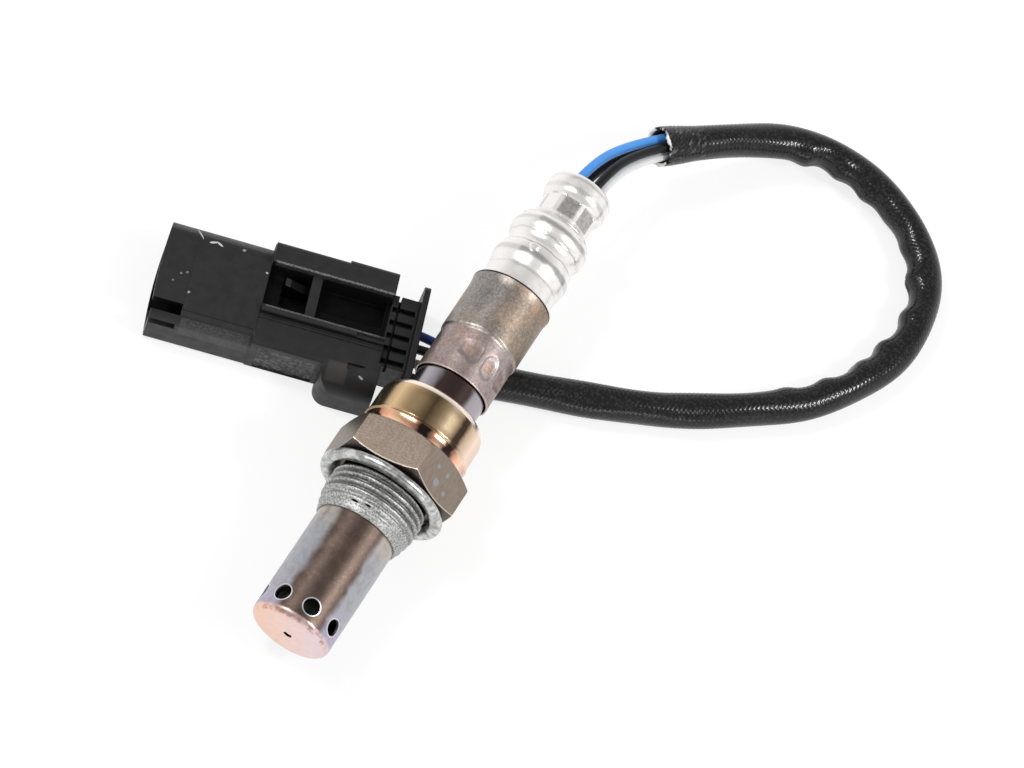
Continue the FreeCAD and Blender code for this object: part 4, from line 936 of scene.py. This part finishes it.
def plug_paint():
    """Satin black plastic, scuffed, with a coarse-grained side pad, painted highlights along its
    edges and painted shade in its recesses.
    """
    paint = Paint("plug_plastic", frame=PLUG)
    colour = paint.mix(paint.noise(4.0, 3.0), (0.009, 0.009, 0.0095), (0.015, 0.015, 0.016))
    rubbed = paint.rise(paint.noise(0.4, 3.0), 0.38, 0.6, 0.35, 1.0)
    # Painted highlights along the rounded edges and rails, in patches
    for *spans, bright in EDGE_HIGHLIGHTS:
        edge = paint.times(block(paint, spans), rubbed)
        colour = paint.over(colour, edge, (bright, bright, bright * 1.02))
    pad = paint.times(inside(paint, "X", 20.3, 30.7), inside(paint, "Z", 1.0, 7.9),
                      paint.rise(paint.along("Y"), -9.6, -9.8))
    speckle = paint.patches(0.42, 0.6, 0.62, 2.0, shift=2.0)
    pad_colour = paint.mix(speckle, (0.004, 0.004, 0.004), (0.085, 0.082, 0.085))
    colour = paint.over(colour, pad, pad_colour)
    worn = paint.times(inside(paint, "X", 32.7, 36.0, 0.3), inside(paint, "Y", -12.3, -9.4, 0.4))
    colour = paint.over(colour, worn, (0.042, 0.038, 0.035), 0.7)
    colour = paint.over(colour, scuffs(paint), (0.70, 0.70, 0.71))
    # Painted shade in the recesses, which also shine less
    shaded_hollows = paint.most([block(paint, spans) for spans in RECESSES])
    paint.set("Base Color", paint.over(colour, shaded_hollows, (0.0025, 0.0025, 0.0025)))
    paint.set("Specular IOR Level", paint.rise(shaded_hollows, 0.0, 1.0, 0.34, 0.08))
    paint.set("Roughness", paint.rise(paint.noise(1.8, 4.0, shift=7.0), 0.3, 0.7, 0.36, 0.5))
    paint.bump(paint.noise(0.3, 4.0), 0.02, 0.35)
    round_edges(paint, 0.28)
    return paint


def round_edges(paint, radius):
    """Shade the edges as if they were rounded, below all bumps."""
    bevel = paint.value("ShaderNodeBevel", {"Radius": radius * MM}, samples=6)
    first = paint.source("Normal").node
    while first.inputs["Normal"].is_linked:
        first = first.inputs["Normal"].links[0].from_node
    paint.feed(first.inputs["Normal"], bevel)


def wire_paint(name, colour):
    """Satin insulation, slightly uneven in colour."""
    paint = Paint(name, 0.0, 0.32)
    darker = tuple(part * 0.8 for part in colour)
    paint.set("Base Color", paint.mix(paint.noise(3.0, 3.0), colour, darker))
    paint.set("Specular IOR Level", 0.3)
    paint.bump(paint.noise(0.8, 3.0), 0.03, 0.4)
    return paint


def shaded_wire(name, colour, shaded):
    """A wire with painted shadow beside the plug."""
    paint = wire_paint(name, colour)
    # Painted shadow where the wire runs beside the plug
    near_plug = paint.rise(paint.along("Y"), 40.0, 25.0)
    paint.set("Base Color", paint.over(paint.source("Base Color"), near_plug, shaded))
    return paint


def braid_paint():
    """Varnished black glass-fibre: fine threads, and a pale cut edge at the sensor's end."""
    paint = Paint("braid")
    colour = paint.mix(paint.noise(2.5, 4.0), (0.003, 0.003, 0.0035), (0.007, 0.007, 0.0075))
    grain = paint.patches(0.46, 0.66, 0.55, 4.0, shift=1.0)
    colour = paint.over(colour, grain, (0.022, 0.022, 0.023))
    start = Vector(BRAID_ROUTE[0])
    heading = (Vector(BRAID_ROUTE[1]) - start).normalized()
    offset = paint.vector("SUBTRACT", paint.place, tuple(start))
    along = paint.vector("DOT_PRODUCT", offset, tuple(heading))
    high = paint.above(9.0, 10.0)
    ends = paint.plus(along, paint.times(paint.noise(0.5, 2.0), 0.7))
    frayed = paint.times(paint.rise(ends, 0.55, 0.3), high)
    colour = paint.over(colour, frayed, (0.80, 0.78, 0.75))
    scraped = paint.patches(0.56, 0.66, 0.8, 3.0, shift=3.0, stretch=(0.6, 2.5, 1.0))
    scraped = paint.times(scraped, paint.rise(along, 11.0, 5.0), high)
    colour = paint.over(colour, scraped, (0.34, 0.33, 0.32), 0.3)
    paint.set("Base Color", colour)
    paint.set("Roughness", paint.rise(paint.noise(0.9, 4.0, shift=5.0), 0.35, 0.65, 0.13, 0.22))
    paint.set("Specular IOR Level", 0.36)
    paint.bump(paint.noise(0.6, 3.0), 0.02, 0.25)
    return paint


# The lead's pieces

def cord_curve(name, points, radius):
    """A smooth curve that runs near the points, in the row frame."""
    curve = bpy.data.curves.new(name, "CURVE")
    curve.dimensions = "3D"
    curve.resolution_u = 24
    curve.bevel_depth = radius * MM
    curve.bevel_resolution = 8
    curve.use_fill_caps = True
    spline = curve.splines.new("NURBS")
    spline.points.add(len(points) - 1)
    for place, point in zip(spline.points, points):
        place.co = (*(Vector(point) * MM), 1.0)
    spline.order_u = 3
    spline.use_endpoint_u = True
    piece = bpy.data.objects.new(name, curve)
    bpy.context.scene.collection.objects.link(piece)
    return piece


def read_line(points, step):
    """Places at even steps along the route's spline, in millimetres."""
    guide = cord_curve("guide", points, 0.0)
    mesh = bpy.data.meshes.new_from_object(guide)
    line = np.array([vertex.co[:] for vertex in mesh.vertices]) / MM
    bpy.data.meshes.remove(mesh)
    bpy.data.objects.remove(guide)
    reach = np.concatenate([[0.0], np.cumsum(np.linalg.norm(np.diff(line, axis=0), axis=1))])
    even = np.linspace(0.0, reach[-1], int(reach[-1] / step))
    return np.stack([np.interp(even, reach, line[:, axis]) for axis in range(3)], 1), even


def wire_route(angle, place):
    """Out of the grommet, along the braid with a slow lay, and into the plug."""
    centre = [Vector(point) for point in BRAID_ROUTE]
    centre[0] -= (centre[1] - centre[0]).normalized() * 3.0
    centre[-1] += (centre[-1] - centre[-2]).normalized() * 2.0
    offset = GROMMET_HOLE * math.sqrt(2)
    x = offset * math.cos(math.radians(angle))
    y = -offset * math.sin(math.radians(angle))
    ends = (NECK + 0.1, LENGTH + 4.2)
    points = [(SENSOR @ (Vector((x, y, height)) * MM)) / MM for height in ends]
    last = len(centre) - 1
    for index, point in enumerate(centre):
        turn = math.radians(angle + UPWARD + LAY_TURN * index / last)
        heading = centre[min(index + 1, last)] - centre[max(index - 1, 0)]
        side = Vector((heading.y, -heading.x, 0)).normalized() * math.cos(turn)
        points.append(point + (side + Vector((0, 0, math.sin(turn)))) * LAY_RADIUS)
    # The plug's wire holes are 3 mm apart
    for along in (51.2, 41.5):
        points.append((PLUG @ (Vector((along, 3.0 * place - 0.75, 3.3)) * MM)) / MM)
    return points


def add_wires():
    paints = {
        "blue": shaded_wire("blue_insulation", (0.085, 0.32, 0.80), (0.02, 0.05, 0.28)),
        "black": wire_paint("black_insulation", (0.008, 0.008, 0.009)),
        "white": shaded_wire("white_insulation", (0.85, 0.85, 0.86), (0.30, 0.28, 0.25)),
    }
    for name, (angle, place, length) in WIRES.items():
        route = wire_route(angle, place)
        wire = cord_curve("lead_" + name, route, WIRE_RADIUS)
        colour = name.split("_")[1]
        wire.data.materials.append(paints[colour].material)
        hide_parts(name)
        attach(wire, "root")


# The braided sleeve: its rings, its threads, and the folds on the inside of its bend.
# A fold has its place along the sleeve and its height.
BRAID_STEP = 0.17
BRAID_TURNS = 96
BRAID_BORE = 0.84
CARRIERS = 16
THREAD_LAY = 13.3
FOLDS = [
    (31.3, 0.7),
    (39.1, 0.8),
    (46.5, 0.75),
    (53.0, 0.35),
    (60.3, 0.5),
    (67.8, 0.85),
    (76.0, 1.0),
    (85.9, 0.9),
    (92.7, 0.75),
    (100.5, 0.75),
    (108.5, 0.5),
]


def braid_height(around, along):
    """How high the woven threads stand, from 0 to 1."""
    turn = around / (2 * math.pi)
    threads = [CARRIERS * (turn + along / THREAD_LAY), CARRIERS * (turn - along / THREAD_LAY)]
    over = (np.floor(threads[0]) + np.floor(threads[1])) % 2
    first, second = [1 - np.abs(2 * (thread % 1) - 1) ** 3 for thread in threads]
    return np.where(over > 0.5, first * (0.55 + 0.45 * second), second * (0.55 + 0.45 * first))


def fold_height(around, along):
    """How far the wall stands out on the inside of the bend, which is at angle 0."""
    height = -0.5 * (steps(along, 32.0, 36.0) - steps(along, 106.0, 113.0))
    for place, size in FOLDS:
        lean = along - place - 0.5 * np.sin(around * 1.3 + place)
        height = height + size * np.exp(-(lean / 2.1) ** 2)
    return height * ((1 + np.cos(around)) / 2) ** 2.5


def braid_radii(around, along):
    """The sleeve's outside: woven, folded, flared at its start and slightly flattened."""
    radii = BRAID_RADIUS - 0.075 * (1 - braid_height(around, along)) + fold_height(around, along)
    flare = 0.5 * (1 - steps(along, 0.0, 8.5))
    return (radii + flare) * (1 + 0.05 * np.sin(along * 0.31) * np.cos(2 * around))


def ragged_end(around, along):
    """How far the threads of the cut end reach further along."""
    ragged = 0.35 * np.sin(around * 3 + 0.5) + 0.16 * np.sin(around * 7 + 1.0)
    return (ragged + 0.1 * np.sin(around * 19)) * np.exp(-along / 1.2)


def braid_rings():
    """The sleeve's middle line, and its rings from inside one end to inside the other."""
    line, along = read_line(BRAID_ROUTE, BRAID_STEP)
    heading = np.gradient(line, axis=0)
    heading /= np.linalg.norm(heading, axis=1)[:, None]
    side = np.cross(heading, (0.0, 0.0, 1.0))
    side /= np.linalg.norm(side, axis=1)[:, None]
    top = np.cross(side, heading)
    around, along = np.meshgrid(np.arange(BRAID_TURNS) * (2 * math.pi / BRAID_TURNS), along)
    radii = braid_radii(around, along)
    outer = line[:, None] + side[:, None] * (np.cos(around) * radii)[..., None]
    outer += top[:, None] * (np.sin(around) * radii)[..., None]
    outer += heading[:, None] * ragged_end(around, along)[..., None]
    # At both ends the wall turns in and goes on for 14 rings, clear of the floor
    ends = [0, 14, -15, -1]
    middle = line[ends][:, None]
    inner = middle + (outer[ends] - middle) * BRAID_BORE
    outer[..., 2] = np.maximum(outer[..., 2], 0.03)
    inner[..., 2] = np.maximum(inner[..., 2], 0.45)
    return line, np.concatenate([inner[1::-1], outer, inner[:1:-1]])


def make_braid(paint):
    line, rings = braid_rings()
    # Its points turn the other way than a lathe's, so each face is turned over
    faces = [(a, d, c, b) for a, b, c, d in quads(len(rings), BRAID_TURNS, closed=False)]
    points = rings.reshape(-1, 3)
    braid = new_piece("fine_braided_sleeve", points, faces, paint, Matrix.Identity(4))
    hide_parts("braided_sleeve")


# Pieces and their finishes

def dress_nodes():
    """Give the CAD model's own pieces, that nothing replaces, their finishes."""
    ceramic = plain("element_ceramic", (0.82, 0.80, 0.76), 0.0, 0.6)
    inner_steel = plain("inner_steel", (0.5, 0.48, 0.45), 1.0, 0.35)
    contact = plain("contact_metal", (0.72, 0.66, 0.5), 1.0, 0.3)
    rubber = plain("seal_rubber", (0.012, 0.012, 0.012), 0.0, 0.6)
    # Near black, for the inner tube and the sensing element
    near_black = plain("near_black", (0.010, 0.009, 0.008), 0.0, 0.85)
    plug = plug_paint()
    finishes = {
        "outer_protection_tube": tube_paint(),
        "inner_protection_tube": near_black,
        "packing_washer": inner_steel,
        "sensing_element": near_black,
        "heater_rod": ceramic,
        "lower_insulator": ceramic,
        "upper_insulator": ceramic,
        "talc_packing": plain("talc", (0.7, 0.7, 0.68), 0.0, 0.9),
        "vent_filter": plain("filter_sheet", (0.8, 0.8, 0.78), 0.0, 0.7),
        "grommet": rubber,
        "wire_seal": rubber,
        "connector_housing": plug,
        "terminal_lock": plug,
        "rear_cover": plug,
    }
    for name, node in nodes.items():
        paint = finishes.get(name)
        if name.startswith(("terminal_contact", "blade_terminal")):
            paint = contact
        if paint is not None:
            node.data.materials.clear()
            node.data.materials.append(paint.material)


dress_nodes()
make_shell(shell_paint())
make_gasket(gasket_paint())
make_casing(casing_paint())
make_sleeve(sleeve_paint())
make_cover(cover_paint())
add_wires()
make_braid(braid_paint())


# Floor and surroundings

def floor_paint():
    """White to the camera and in gloss, and yet it keeps the object's shadow."""
    paint = Paint("floor")
    kinds = ("Is Camera Ray", "Is Glossy Ray")
    rays = [paint.value("ShaderNodeLightPath", {}, kind) for kind in kinds]
    diffuse = paint.value("ShaderNodeBsdfDiffuse", {"Color": (0.9, 0.9, 0.9)})
    glow = paint.value("ShaderNodeEmission", {"Strength": 1.05})
    share = paint.times(paint.most(rays), 0.75)
    mixed = paint.value("ShaderNodeMixShader", {0: share, 1: diffuse, 2: glow})
    paint.feed(paint.tree.nodes["Material Output"].inputs["Surface"], mixed)
    paint.tree.nodes.remove(paint.shader)
    return paint


def make_floor():
    mesh = bpy.data.meshes.new("floor")
    mesh.from_pydata([(-4, -4, 0), (4, -4, 0), (4, 4, 0), (-4, 4, 0)], [], [(0, 1, 2, 3)])
    mesh.materials.append(floor_paint().material)
    floor = bpy.data.objects.new("floor", mesh)
    # Just below the object, which touches the floor's plane
    floor.location.z = -0.05 * MM
    bpy.context.scene.collection.objects.link(floor)


def make_world():
    """A white surrounding that is greyer high up, for reflections with some depth."""
    world = bpy.data.worlds.new("studio")
    bpy.context.scene.world = world
    world.use_nodes = True
    tree = world.node_tree
    place = tree.nodes.new("ShaderNodeTexCoord")
    split = tree.nodes.new("ShaderNodeSeparateXYZ")
    ramp = tree.nodes.new("ShaderNodeValToRGB")
    for element, (height, grey) in zip(ramp.color_ramp.elements, ((0.15, 1.0), (0.6, 0.45))):
        element.position = height
        element.color = (grey, grey, grey, 1.0)
    tree.links.new(place.outputs["Generated"], split.inputs[0])
    tree.links.new(split.outputs["Z"], ramp.inputs[0])
    tree.links.new(ramp.outputs[0], tree.nodes["Background"].inputs["Color"])


make_floor()
make_world()
